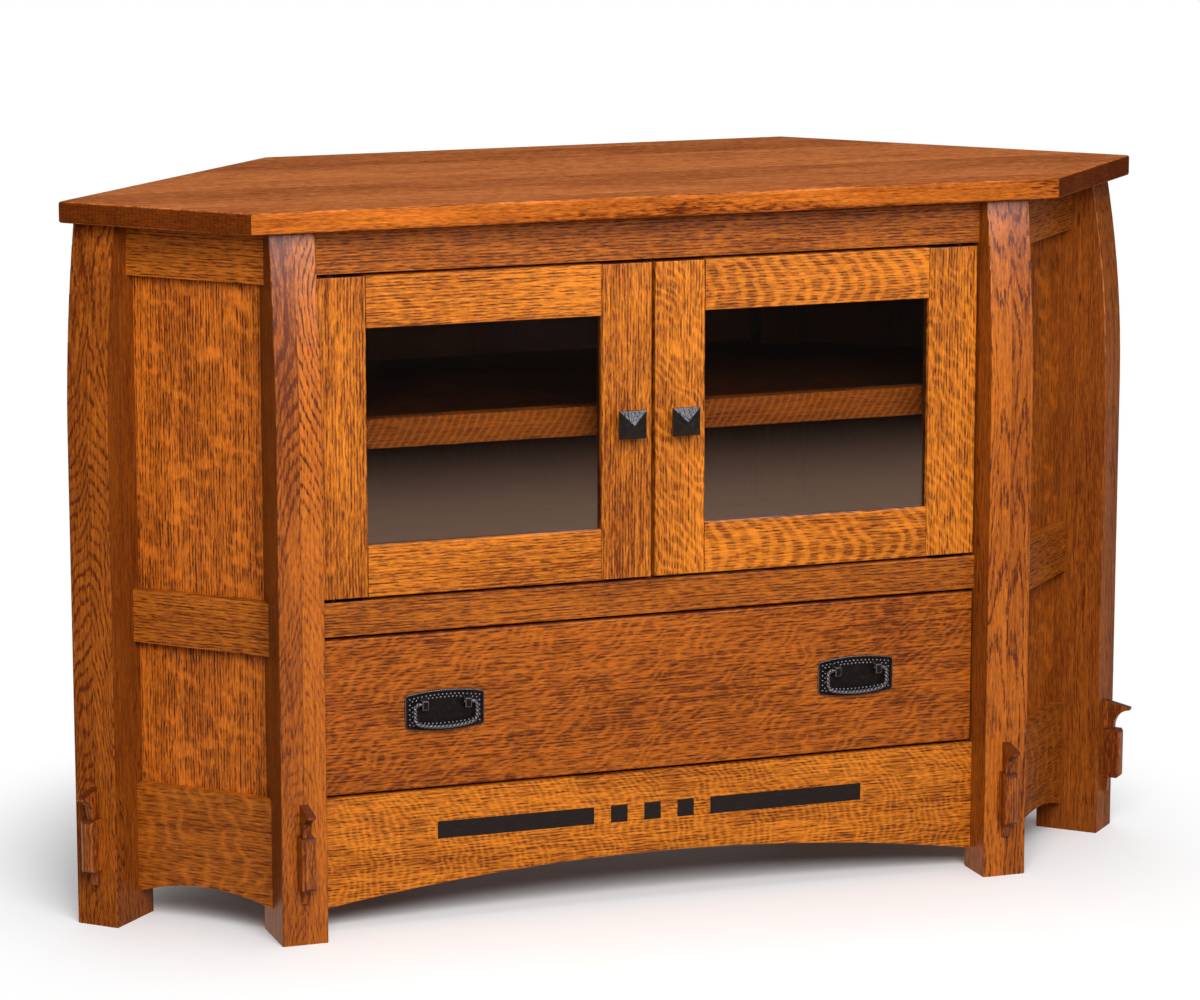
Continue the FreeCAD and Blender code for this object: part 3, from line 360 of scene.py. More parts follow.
FEATHERING = 0.7
RING_BY_CHANCE, RING_AT_LEAST = 0.8, 0.45
RAGGEDNESS = 0.30
CLEARED_BY_FLECK = -0.62
MIDDLE_TONE = 0.58
BROAD_SWING = 0.8
FLECK_LIGHTENS = 0.26
PORE_DEPTH, JOINT_DEPTH, END_DEPTH = 0.85, 0.40, 0.88
PORE_ROUGHENS, LIGHT_WOOD_SMOOTHS, WOOD_ROUGHNESS = 0.20, -0.08, 0.44
TONE_RELIEF = 0.3


def build_oak_group():
    """Oak figure: growth rings, open pores, ray fleck and dark end grain."""
    inputs = [("Place", "vector"), ("Figure", "vector")]
    inputs += [(label, "colour") for label in ("Light", "Dark", "Pore Colour")]
    inputs += [(label, "number") for label in ("Shade", "Joint", "End")]
    inputs += [("Ring " + label, "number") for label in ("Side", "Depth", "Lean", "Width", "Wander")]
    inputs += [(label, "number") for label in ("Rings", "Streaks", "Pores", "Fleck")]
    inputs += [("Fleck " + label, "number")
               for label in ("Spacing", "Slant", "Bow", "Wobble", "Break", "Share")]
    outputs = [("Colour", "colour"), ("Roughness", "number"), ("Height", "number")]
    wires, given, taken = new_group("Oak", inputs, outputs)
    place = given["Place"]
    fx, fy, fz = wires.parts(given["Figure"])

    # Growth rings about the heart of the tree, and the open wood that starts each ring
    slow = wires.swing(place, WANDER)
    side = wires.plus(wires.scaled(slow, given["Ring Wander"], fy), given["Ring Side"])
    lean = wires.scaled(given["Ring Lean"], fx, given["Ring Depth"])
    depth = wires.minus(fz, lean)
    radius = wires.vector("LENGTH", wires.join(0.0, side, depth))
    ring = wires.math("DIVIDE", radius, given["Ring Width"])
    ring = wires.scaled(wires.swing(place, FEATHER, *SHORT), FEATHERING, ring)
    share = wires.math("FRACT", ring)
    ring_chance = wires.chance(wires.math("FLOOR", ring))
    pore_cells = wires.noise(place, PORES, *SHORT)
    open_wood = wires.times(wires.step(share, *RING_OPENS), wires.step(share, *RING_CLOSES))
    open_wood = wires.times(open_wood, wires.step(pore_cells, *RING_BREAKS))
    ring_dark = wires.times(open_wood, wires.scaled(ring_chance, RING_BY_CHANCE, RING_AT_LEAST))

    # Ray fleck: bowed and slanting strips with ragged edges, kept in patches
    bow = wires.times(wires.times(fy, fy), given["Fleck Bow"])
    line = wires.plus(wires.scaled(fy, given["Fleck Slant"], fx), bow)
    line = wires.scaled(wires.swing(place, SWIRL), given["Fleck Wobble"], line)
    rag = wires.times(given["Fleck Spacing"], RAGGEDNESS)
    line = wires.scaled(wires.swing(place, RAGGED_EDGE), rag, line)
    turns = wires.math("DIVIDE", line, given["Fleck Spacing"])
    wave = wires.math("SINE", wires.times(turns, 2 * math.pi))
    lowest = wires.minus(given["Fleck Share"], STRIP_FADES[0])
    strip = wires.step(wave, lowest, wires.plus(given["Fleck Share"], STRIP_FADES[1]))
    patch = wires.noise(place, PATCHES, *SHORT)
    gap = wires.minus(given["Fleck Break"], PATCH_FADES[0])
    kept = wires.step(patch, gap, wires.plus(given["Fleck Break"], PATCH_FADES[1]))
    fleck = wires.times(wires.times(strip, kept), given["Fleck"], clamp=True)
    bare = wires.scaled(fleck, CLEARED_BY_FLECK, 1.0, clamp=True)

    # Pores: short dark dashes along the grain, none on the fleck
    dashes = wires.times(wires.step(pore_cells, *DASHES), wires.step(share, *DASHES_FADE))
    pore = wires.times(wires.times(dashes, given["Pores"]), bare, clamp=True)

    # Tone of the wood from dark, 0, to light, 1
    streak = wires.swing(place, STREAKS, *LONG)
    tone = wires.scaled(wires.times(streak, bare), given["Streaks"], MIDDLE_TONE)
    tone = wires.scaled(wires.swing(place, FINE_STREAKS, *SHORT), given["Streaks"], tone)
    tone = wires.scaled(wires.swing(place, BROAD_TONE), BROAD_SWING, tone)
    ring_tone = wires.times(wires.times(ring_dark, bare), given["Rings"])
    tone = wires.scaled(fleck, FLECK_LIGHTENS, wires.minus(tone, ring_tone))
    tone = wires.plus(tone, given["Shade"], clamp=True)

    wood = wires.blend(tone, given["Dark"], given["Light"])
    pored = wires.blend(wires.times(pore, PORE_DEPTH), wood, given["Pore Colour"])
    glued = wires.blend(wires.times(given["Joint"], JOINT_DEPTH), pored, given["Pore Colour"])
    specks = wires.step(wires.noise(place, END_SPECKS, *SHORT), *END_SPECKLE)
    end_wood = wires.blend(specks, given["Pore Colour"], given["Dark"])
    wires.feed(taken["Colour"], wires.blend(wires.times(given["End"], END_DEPTH), glued, end_wood))
    rough = wires.scaled(tone, LIGHT_WOOD_SMOOTHS, WOOD_ROUGHNESS)
    wires.feed(taken["Roughness"], wires.scaled(pore, PORE_ROUGHENS, rough))
    height = wires.minus(wires.times(tone, TONE_RELIEF), pore)
    wires.feed(taken["Height"], wires.minus(height, given["Joint"]))


def build_iron_group():
    """Blackened iron: hammer marks, and bare metal where hands rub it."""
    inputs = [("Place", "vector"), ("Colour", "colour"), ("Marks", "number")]
    outputs = [("Colour", "colour"), ("Roughness", "number"), ("Height", "number")]
    wires, given, taken = new_group("Hammered iron", inputs, outputs)
    marks = wires.cells(given["Place"], given["Marks"])
    bare_metal = (0.022, 0.020, 0.023, 1.0)
    rub_depth = 0.5
    rub_smooths, grit_roughens, iron_roughness = -0.06, 0.10, 0.22
    grit_relief = 0.12
    grit = wires.noise(given["Place"], IRON_GRIT, 3.0)
    rub = wires.step(wires.noise(given["Place"], IRON_RUB, *LONG), *RUBBED_PATCH)
    wires.feed(taken["Colour"], wires.blend(wires.times(rub, rub_depth), given["Colour"], bare_metal))
    rough = wires.scaled(grit, grit_roughens, iron_roughness)
    wires.feed(taken["Roughness"], wires.scaled(rub, rub_smooths, rough))
    wires.feed(taken["Height"], wires.scaled(grit, grit_relief, marks))


# Finishes

FIGURES = {
    "quartered": dict(
        Ring_Side=0.30, Ring_Depth=0.0, Ring_Lean=0.004, Ring_Width=0.0034, Ring_Wander=0.010,
        Rings=0.70, Streaks=1.6, Pores=0.80, Fleck=0.0, Fleck_Spacing=0.024, Fleck_Slant=0.3,
        Fleck_Bow=0.0, Fleck_Wobble=0.03, Fleck_Break=0.40, Fleck_Share=0.0),
    "flat sawn": dict(
        Ring_Side=0.006, Ring_Depth=0.026, Ring_Lean=0.030, Ring_Width=0.0021, Ring_Wander=0.030,
        Rings=0.75, Streaks=1.3, Pores=0.55, Fleck=0.0, Fleck_Spacing=0.024, Fleck_Slant=0.0,
        Fleck_Bow=0.0, Fleck_Wobble=0.0, Fleck_Break=0.5, Fleck_Share=0.0),
}
ARCHED_FLECK = dict(
    Fleck=0.95, Fleck_Spacing=0.019, Fleck_Slant=0.35, Fleck_Bow=18.0, Fleck_Wobble=0.035, Fleck_Break=0.38)
WAVY_FLECK = dict(
    Fleck=0.85, Fleck_Spacing=0.016, Fleck_Slant=1.2, Fleck_Bow=0.0, Fleck_Wobble=0.07, Fleck_Break=0.44,
    Fleck_Share=0.1)
RIPPLED_FLECK = dict(
    Fleck=0.70, Fleck_Spacing=0.0085, Fleck_Slant=0.25, Fleck_Bow=4.0, Fleck_Wobble=0.04, Fleck_Break=0.42)
DRIFTING_FLECK = dict(
    Streaks=1.9, Fleck=0.80, Fleck_Spacing=0.017, Fleck_Slant=-1.4, Fleck_Bow=0.8, Fleck_Wobble=0.10,
    Fleck_Break=0.43)
PATCHY_FLECK = dict(
    Rings=0.90, Streaks=1.6, Pores=0.9, Fleck=0.90, Fleck_Spacing=0.030, Fleck_Slant=0.5, Fleck_Bow=0.0,
    Fleck_Wobble=0.06, Fleck_Break=0.53, Fleck_Share=-0.3)
CURLED_FLECK = dict(
    Rings=0.35, Pores=0.45, Fleck=1.0, Fleck_Spacing=0.024, Fleck_Slant=0.1, Fleck_Bow=5.0, Fleck_Wobble=0.05,
    Fleck_Break=0.46, Fleck_Share=0.35)
SLIGHT_FLECK = dict(
    Fleck=0.40, Fleck_Spacing=0.022, Fleck_Slant=0.8, Fleck_Bow=3.0, Fleck_Wobble=0.05, Fleck_Break=0.54)
HAIR_FLECK = dict(
    Rings=0.2, Streaks=0.9, Pores=0.15, Fleck=1.3, Fleck_Spacing=0.0095, Fleck_Slant=-0.6, Fleck_Bow=9.0,
    Fleck_Wobble=0.012, Fleck_Break=0.30, Fleck_Share=0.42)
CHEVRON = dict(
    Ring_Side=0.032, Ring_Depth=0.085, Ring_Lean=0.14, Ring_Width=0.0024, Ring_Wander=0.095, Rings=1.45)
WILD_RINGS = dict(Ring_Lean=0.045, Ring_Width=0.0040, Ring_Wander=0.075, Rings=0.75)
CALM = dict(Rings=0.12, Streaks=1.3, Pores=0.35)
END_GRAIN_TURN = (0.45, 0.68)
EDGE_TURN = (0.3, 0.7)
RING_FADE = 0.15
RINGS_LEFT = 0.25


def grain_turn(along, across):
    """Rotation that lays the grain along X and the board's width along Y."""
    return Matrix((along, across, along.cross(across))).to_euler()


def start_material(name):
    """New material with its wiring, shader and object coordinates."""
    material = bpy.data.materials.new(name)
    material.use_nodes = True
    wires = Wiring(material.node_tree)
    shader = material.node_tree.nodes["Principled BSDF"]
    coordinates = wires.add("ShaderNodeTexCoord").outputs
    return material, wires, shader, coordinates


def dress(wires, shader, **sockets):
    """Feeds the shader's sockets, each named with underscores for spaces."""
    for name, value in sockets.items():
        wires.feed(shader.inputs[name.replace("_", " ")], value)


def oak(name, wood, along, across, centre, cut="quartered", board_width=1.0, variation=0.0, step=0.0,
        shade=0.0, seed=0.0, coat=0.10, gloss=0.10, matt=0.0, boxed=False, edges=None, rings_above=None,
        **changes):
    """Stained wood with its grain along one direction about a point, or round a box's sides.

    Upright edges may have another stain, and the rings may fade below a height.
    """
    colours = bpy.context.scene.cabinet_stain
    material, wires, shader, coordinates = start_material(name)
    turn = grain_turn(along, across)
    mapping = wires.add("ShaderNodeMapping", vector_type="POINT")
    wires.feed(mapping.inputs["Vector"], coordinates["Object"])
    mapping.inputs["Rotation"].default_value = turn
    mapping.inputs["Location"].default_value = -(turn.to_matrix() @ centre)
    place = mapping.outputs["Vector"]
    if boxed:
        x, y, z = wires.parts(place)
        place = wires.join(wires.plus(x, z), y, 0.0)
    board = place_group(wires, "Glued boards", Place=place, Board_Width=board_width, Seed=seed,
                        Variation=variation, Shade_Step=step)
    facing = wires.add("ShaderNodeVectorMath", operation="DOT_PRODUCT")
    wires.feed(facing.inputs[0], coordinates["Normal"])
    facing.inputs[1].default_value = along
    end = 0.0 if boxed else wires.step(wires.math("ABSOLUTE", facing.outputs["Value"]), *END_GRAIN_TURN)
    values = {**FIGURES[cut], **changes}
    light, dark = ((*getattr(colours, wood + tone), 1.0) for tone in ("_light", "_dark"))
    # Flat faces keep the given stain and upright faces take the edge stain; on the top this keeps its stain's
    # painted sheen on the flat face only.
    if edges:
        flat = wires.step(wires.math("ABSOLUTE", wires.parts(coordinates["Normal"])[2]), *EDGE_TURN)
        light = wires.blend(flat, (*getattr(colours, edges + "_light"), 1.0), light)
        dark = wires.blend(flat, (*getattr(colours, edges + "_dark"), 1.0), dark)
        values["Streaks"] = wires.scaled(flat, values["Streaks"] / 2, values["Streaks"] / 2)
    if rings_above:
        height = wires.parts(coordinates["Object"])[2]
        kept = wires.step(height, rings_above - RING_FADE, rings_above + RING_FADE, RINGS_LEFT, 1.0)
        values["Rings"] = wires.times(kept, values["Rings"])
    grain = place_group(wires, "Oak", Place=board["Place"], Figure=board["Figure"],
                        Light=light, Dark=dark, Pore_Colour=(*colours.pore, 1.0),
                        Shade=wires.plus(board["Shade"], shade), Joint=board["Joint"], End=end, **values)
    dress(wires, shader, Base_Color=grain["Colour"], Roughness=wires.plus(grain["Roughness"], matt),
          Normal=wires.bump(grain["Height"], 0.30, 0.4 * MM), Specular_IOR_Level=gloss, Coat_Weight=coat,
          Coat_Roughness=0.22)
    return material


def middle(node):
    """Middle of a node's box."""
    low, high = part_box(node)
    return (Vector(low) + Vector(high)) / 2


def finish(node, material):
    """Gives a carried-over node its material."""
    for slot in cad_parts[node].material_slots:
        slot.material = material


def stain(node, wood, along, across, centre=None, **settings):
    """Stains a carried-over node, with the figure about the node's middle or another point."""
    name = node.replace("_", " ") + " finish"
    finish(node, oak(name, wood, along, across, middle(node) if centre is None else centre, **settings))


def plain_metal(name, colour, metallic, roughness, gloss=0.5):
    """Smooth metal with fine drawn lines."""
    material, wires, shader, coordinates = start_material(name)
    lines = wires.noise(coordinates["Object"], DRAWN_LINES)
    darker = tuple(c * 0.8 for c in colour[:3]) + (1.0,)
    dress(wires, shader, Base_Color=wires.blend(lines, colour, darker), Metallic=metallic,
          Roughness=wires.scaled(lines, 0.15, roughness), Specular_IOR_Level=gloss)
    return material


def iron(name, marks, gloss, relief=0.35, iron_colour="iron", drawn=(1.0, 1.0, 1.0)):
    """Iron with hammer marks of a given fineness, relief and draw, in a given iron colour; the worn and
    rubbed colours are lighter as wear and as a painted highlight.
    """
    colour = getattr(bpy.context.scene.cabinet_stain, iron_colour)
    material, wires, shader, coordinates = start_material(name)
    place = wires.vector("MULTIPLY", coordinates["Object"], drawn)
    worked = place_group(wires, "Hammered iron", Place=place, Colour=(*colour, 1.0), Marks=marks)
    dress(wires, shader, Base_Color=worked["Colour"], Roughness=worked["Roughness"],
          Normal=wires.bump(worked["Height"], relief, 0.6 * MM), Specular_IOR_Level=gloss)
    return material


def ebonised(name):
    """Near-black wood with faint pores."""
    colours = bpy.context.scene.cabinet_stain
    material, wires, shader, coordinates = start_material(name)
    pores = wires.step(wires.noise(coordinates["Object"], FINE_PORES, *SHORT), *INLAY_PORES)
    lighter = tuple(min(1.0, c * 1.7) for c in colours.inlay) + (1.0,)
    dress(wires, shader, Base_Color=wires.blend(pores, (*colours.inlay, 1.0), lighter),
          Roughness=wires.scaled(pores, 0.15, 0.40), Normal=wires.bump(pores, 0.2, 0.2 * MM),
          Specular_IOR_Level=0.18)
    return material


def clear_glass(name):
    """Window glass with a faint change of tint."""
    material, wires, shader, coordinates = start_material(name)
    wave = wires.noise(coordinates["Object"], PANE_WAVES, 1.0)
    tint = wires.blend(wave, (0.80, 0.78, 0.74, 1.0), (0.84, 0.82, 0.78, 1.0))
    dress(wires, shader, Base_Color=tint, Roughness=0.02, IOR=1.48, Coat_Weight=1.0, Coat_Roughness=0.02,
          Transmission_Weight=1.0)
    return material


# Pieces made here

# Material slots of a plate: plain iron, the beads' worn iron and the rubbed iron; the last two are lighter
# also as painted highlights.
PLATE, BEADS, RUBBED_AND_HIGHLIGHT = 0, 1, 2
SCREW_RADIUS = 2 * MM
SCREW_HEAD_RADIUS = 4 * MM
SCREW_HEAD_THICK = 2.2 * MM
SCREW_START = 0.2 * MM


def new_piece(name, bm, materials, body, *nodes):
    """Turns a bmesh into a named piece that stands for CAD nodes."""
    bmesh.ops.recalc_face_normals(bm, faces=bm.faces)
    mesh = bpy.data.meshes.new(name)
    bm.to_mesh(mesh)
    bm.free()
    piece = bpy.data.objects.new(name, mesh)
    bpy.context.scene.collection.objects.link(piece)
    for material in materials:
        mesh.materials.append(material)
    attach(piece, body)
    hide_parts(*nodes)
    return piece


def soften(bm, edges, offset, segments=3):
    """Rounds edges off, and returns the new faces."""
    return bmesh.ops.bevel(bm, geom=list(edges), offset=offset, segments=segments, profile=0.5,
                           affect="EDGES", material=-1)["faces"]


def only(items, kind):
    """The vertices, edges or faces among the items."""
    return [item for item in items if isinstance(item, kind)]


def rod(bm, start, end, radius, segments=24):
    """Round bar between two points, with its arrises taken off."""
    arris_share = 0.12
    way = end - start
    turn = UP.rotation_difference(way).to_matrix().to_4x4()
    place = Matrix.Translation((start + end) / 2) @ turn
    made = bmesh.ops.create_cone(bm, cap_ends=True, segments=segments, radius1=radius, radius2=radius,
                                 depth=way.length, matrix=place)
    edges = dict.fromkeys(edge for vert in made["verts"] for edge in vert.link_edges)
    rims = [edge for edge in edges if len(edge.link_faces) == 2
            and any(len(face.verts) > 4 for face in edge.link_faces)]
    soften(bm, rims, min(radius, way.length) * arris_share, 2)


def screw(bm, x, z, face_y, end_y):
    """Machine screw from just behind a face to the back of its head."""
    neck = Vector((x, end_y - SCREW_HEAD_THICK, z))
    rod(bm, Vector((x, face_y + SCREW_START, z)), neck, SCREW_RADIUS, 12)
    rod(bm, neck, Vector((x, end_y, z)), SCREW_HEAD_RADIUS)


def block(bm, low, high, round_off):
    """Adds a block with rounded arrises, and returns its faces."""
    size = high - low
    place = Matrix.Translation((low + high) / 2) @ Matrix.Diagonal((*size, 1.0))
    made = bmesh.ops.create_cube(bm, size=1.0, matrix=place)
    edges = dict.fromkeys(edge for vert in made["verts"] for edge in vert.link_edges)
    sides = dict.fromkeys(face for edge in edges for face in edge.link_faces)
    rounded = soften(bm, edges, round_off)
    return [face for face in sides if face.is_valid] + rounded


def forge_knob(side):
    """Square knob with a hammered pyramid, a round neck and its screw."""
    sizes = bpy.context.scene.cabinet_hardware
    node = side + "_door_knob"
    low, high = (Vector(corner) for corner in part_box(node))
    face_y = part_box(side + "_door_stiles")[0][1]
    centre = (low + high) / 2
    width = high.x - low.x
    rise = 5.5 * MM
    rim = 4.0 * MM
    flare = 7.0 * MM
    neck = 5.5 * MM
    foot = 9.0 * MM
    foot_thick = 3.0 * MM
    neck_sunk = 1.1 * MM
    rim_y = low.y + rise
    facets = 11
    strokes = 620
    stroke_draw = 0.35

    bm = bmesh.new()
    middle_point = Vector((centre.x, rim_y, centre.z))
    place = Matrix.Translation(middle_point) @ Matrix.Rotation(math.pi / 2, 4, "X")
    bmesh.ops.create_grid(bm, x_segments=1, y_segments=1, size=width / 2, matrix=place)
    bmesh.ops.poke(bm, faces=bm.faces[:], offset=0)
    apex = min(bm.verts, key=lambda vert: (vert.co - middle_point).length)
    apex.co.y = low.y
    bmesh.ops.subdivide_edges(bm, edges=bm.edges[:], cuts=facets, use_grid_fill=True)
    for vert in bm.verts:
        if not vert.is_boundary and vert is not apex:
            streak = Vector((vert.co.x + vert.co.z, 0, (vert.co.x - vert.co.z) * stroke_draw)) * strokes
            vert.co.y += noise.noise(streak) * sizes.hammer_depth
    rims = [edge for edge in bm.edges if edge.is_boundary]
    # Depth and half width of each step of the rim, and of the flare down to the neck
    profile = ((rim * 0.2, width / 2), (rim * 0.8, width / 2), (flare / 2, neck * 1.5), (flare / 2, neck))
    for depth, reach in profile:
        grown = bmesh.ops.extrude_edge_only(bm, edges=rims)["geom"]
        verts = only(grown, bmesh.types.BMVert)
        rims = only(grown, bmesh.types.BMEdge)
        span = max(abs(vert.co.x - centre.x) for vert in verts)
        bmesh.ops.scale(bm, vec=(reach / span, 1, reach / span), verts=verts,
                        space=Matrix.Translation(-Vector((centre.x, 0, centre.z))))
        bmesh.ops.translate(bm, vec=(0, depth, 0), verts=verts)
    bmesh.ops.contextual_create(bm, geom=rims)
    seat = Vector((centre.x, face_y, centre.z))
    rod(bm, Vector((centre.x, rim_y + rim + flare - neck_sunk, centre.z)), seat, neck)
    rod(bm, seat - BACK * foot_thick, seat, foot, 32)
    screw(bm, centre.x, centre.z, face_y, high.y)
    metal = iron(side + " knob iron", marks=460.0, gloss=0.26, relief=0.9, drawn=(1.0, 0.4, 0.4))
    new_piece(side + "_knob", bm, [metal], side + "_door", node)


def pull_frame(side):
    """Places of a pull: its middle on the drawer's face, and its box."""
    low, high = (Vector(corner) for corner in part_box(side + "_pull_plate"))
    face_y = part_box("drawer_front")[0][1]
    return Vector(((low.x + high.x) / 2, face_y, (low.z + high.z) / 2)), low, high


def bow_height(x, half, crest, flank):
    """Height of a plate's bowed edge over its middle line."""
    return flank + (crest - flank) * (1 - (x / half) ** 2)


def plate_outline(half, crest, flank, corner):
    """Points round a plate that is bowed above and below, with rounded corners."""
    bow_steps = 12
    corner_steps = 6
    reach = half - corner
    shoulder = bow_height(reach, half, crest, flank)
    quarter = [(reach * step / bow_steps, bow_height(reach * step / bow_steps, half, crest, flank))
               for step in range(bow_steps)]
    for step in range(corner_steps + 1):
        angle = math.pi / 2 * (1 - step / corner_steps)
        quarter.append((reach + corner * math.cos(angle), shoulder - corner * (1 - math.sin(angle))))
    upper = quarter + [(half, 0.0)]
    right = upper + [(x, -z) for x, z in reversed(quarter)]
    return right + [(-x, z) for x, z in reversed(right[1:-1])]


def bead_places(half, crest, flank, inset, spacing):
    """Places of the beads in one row round a plate."""
    reach = half - inset
    count = int(2 * reach / spacing)
    places = []
    for step in range(count + 1):
        x = -reach + 2 * reach * step / count
        height = bow_height(x, half, crest, flank)
        places += [(x, height - inset), (x, inset - height)]
    rows = int(2 * (flank - inset) / spacing)
    for step in range(1, rows):
        z = -(flank - inset) + 2 * (flank - inset) * step / rows
        places += [(-reach, z), (reach, z)]
    return places


def forge_plate(side):
    """Bowed backplate with a raised rim, beads, two lugs and the screws behind."""
    sizes = bpy.context.scene.cabinet_hardware
    centre, low, high = pull_frame(side)
    half = (high.x - low.x) / 2
    crest = (high.z - low.z) / 2
    corner = 4.5 * MM
    flank = crest - 4.5 * MM
    thick = 2.4 * MM
    sunk = 0.8 * MM
    rim = 3.0 * MM
    slope = 0.9 * MM
    arris = 0.9 * MM
    bead_insets = (5.4 * MM, 8.6 * MM)
    lug_x = 25.0 * MM
    lug_z = 9.5 * MM
    lug_deep = 12.0 * MM
    lug_half, lug_below, lug_above = 3.8 * MM, 6.5 * MM, 4.4 * MM
    pad_half, pad_below, pad_above = 5.0 * MM, 8.0 * MM, 6.0 * MM
    pad_thick = 0.8 * MM
    lug_round, pad_round = 1.1 * MM, 0.6 * MM
    lug_clear = 6.0 * MM

    bm = bmesh.new()
    outline = plate_outline(half, crest, flank, corner)
    bmesh.ops.create_circle(bm, cap_ends=True, segments=len(outline), radius=half)
    for vert, (x, z) in zip(bm.verts, outline):
        vert.co = Vector((x, 0, z))
    grown = bmesh.ops.extrude_face_region(bm, geom=bm.faces[:], use_keep_orig=True)["geom"]
    bmesh.ops.translate(bm, vec=(0, -thick, 0), verts=only(grown, bmesh.types.BMVert))
    bmesh.ops.recalc_face_normals(bm, faces=bm.faces)
    front = only(grown, bmesh.types.BMFace)
    lip = list(front[0].edges)
    bmesh.ops.inset_region(bm, faces=front, thickness=rim, use_even_offset=True)
    bmesh.ops.inset_region(bm, faces=front, thickness=slope, use_even_offset=True)
    bmesh.ops.translate(bm, vec=(0, sunk, 0), verts=front[0].verts)
    # The lip's rounded arris takes the rubbed iron: wear, and a painted highlight along the rim.
    for face in soften(bm, lip, arris):
        face.material_index = RUBBED_AND_HIGHLIGHT

    for inset in bead_insets:
        for x, z in bead_places(half, crest, flank, inset, sizes.bead_spacing):
            if abs(abs(x) - lug_x) > lug_clear or abs(z - lug_z) > lug_clear:
                seat = Matrix.Translation((x, sunk - thick, z))
                bead = bmesh.ops.create_icosphere(bm, subdivisions=2, radius=sizes.bead_radius, matrix=seat)
                # The beads take the worn iron: wear, and a painted highlight.
                for face in {face for vert in bead["verts"] for face in vert.link_faces}:
                    face.material_index = BEADS

    for x in (-lug_x, lug_x):
        lug = block(bm, Vector((x - lug_half, -lug_deep, lug_z - lug_below)),
                    Vector((x + lug_half, -thick / 2, lug_z + lug_above)), lug_round)
        # The lugs take the rubbed iron: wear, and a painted highlight.
        for face in lug:
            face.material_index = RUBBED_AND_HIGHLIGHT
        block(bm, Vector((x - pad_half, -thick - pad_thick, lug_z - pad_below)),
              Vector((x + pad_half, -thick / 2, lug_z + pad_above)), pad_round)
        screw(bm, x, lug_z, 0.0, high.y - centre.y)
    bmesh.ops.translate(bm, vec=centre, verts=bm.verts)
    metals = [iron(side + " plate iron", marks=420.0, gloss=0.14, relief=0.8),
              iron(side + " worn and highlight iron", marks=420.0, gloss=0.8, relief=0.2, iron_colour="worn_and_highlight_iron"),
              iron(side + " rubbed and highlight iron", marks=420.0, gloss=0.6, relief=0.3, iron_colour="rubbed_and_highlight_iron")]
    new_piece(side + "_plate", bm, metals, "drawer", side + "_pull_plate")


def bail_line(half, drop, start):
    """Points down one arm of a bail, along its bow and up the other arm."""
    bend = 5.0 * MM
    turn = 9.0 * MM
    lean = math.radians(12)
    bow = (half - turn) / math.sin(lean) + turn
    turn_z = -drop + bow - (bow - turn) * math.cos(lean)
    arm_steps, bend_steps, turn_steps, bow_steps = 4, 6, 8, 12
    arm = half - bend - start
    points = [Vector((start + arm * step / arm_steps, 0, 0)) for step in range(arm_steps)]
    for step in range(bend_steps + 1):
        angle = math.pi / 2 * (1 - step / bend_steps)
        points.append(Vector((half - bend + bend * math.cos(angle), 0, -bend + bend * math.sin(angle))))
    for step in range(turn_steps + 1):
        angle = -(math.pi / 2 - lean) * step / turn_steps
        points.append(Vector((half - turn + turn * math.cos(angle), 0, turn_z + turn * math.sin(angle))))
    for step in range(1, bow_steps):
        angle = lean * (1 - step / bow_steps)
        points.append(Vector((bow * math.sin(angle), 0, -drop + bow * (1 - math.cos(angle)))))
    return points + [Vector((0, 0, -drop))] + [Vector((-p.x, 0, p.z)) for p in reversed(points)]


def even_points(line, spacing):
    """The same line with points at an even spacing."""
    lengths = [0.0]
    for a, b in zip(line, line[1:]):
        lengths.append(lengths[-1] + (b - a).length)
    count = int(lengths[-1] / spacing)
    points = []
    index = 0
    for step in range(count + 1):
        wanted = lengths[-1] * step / count
        while index < len(line) - 2 and lengths[index + 1] < wanted:
            index += 1
        share = (wanted - lengths[index]) / (lengths[index + 1] - lengths[index])
        points.append(line[index].lerp(line[index + 1], min(1.0, share)))
    return points


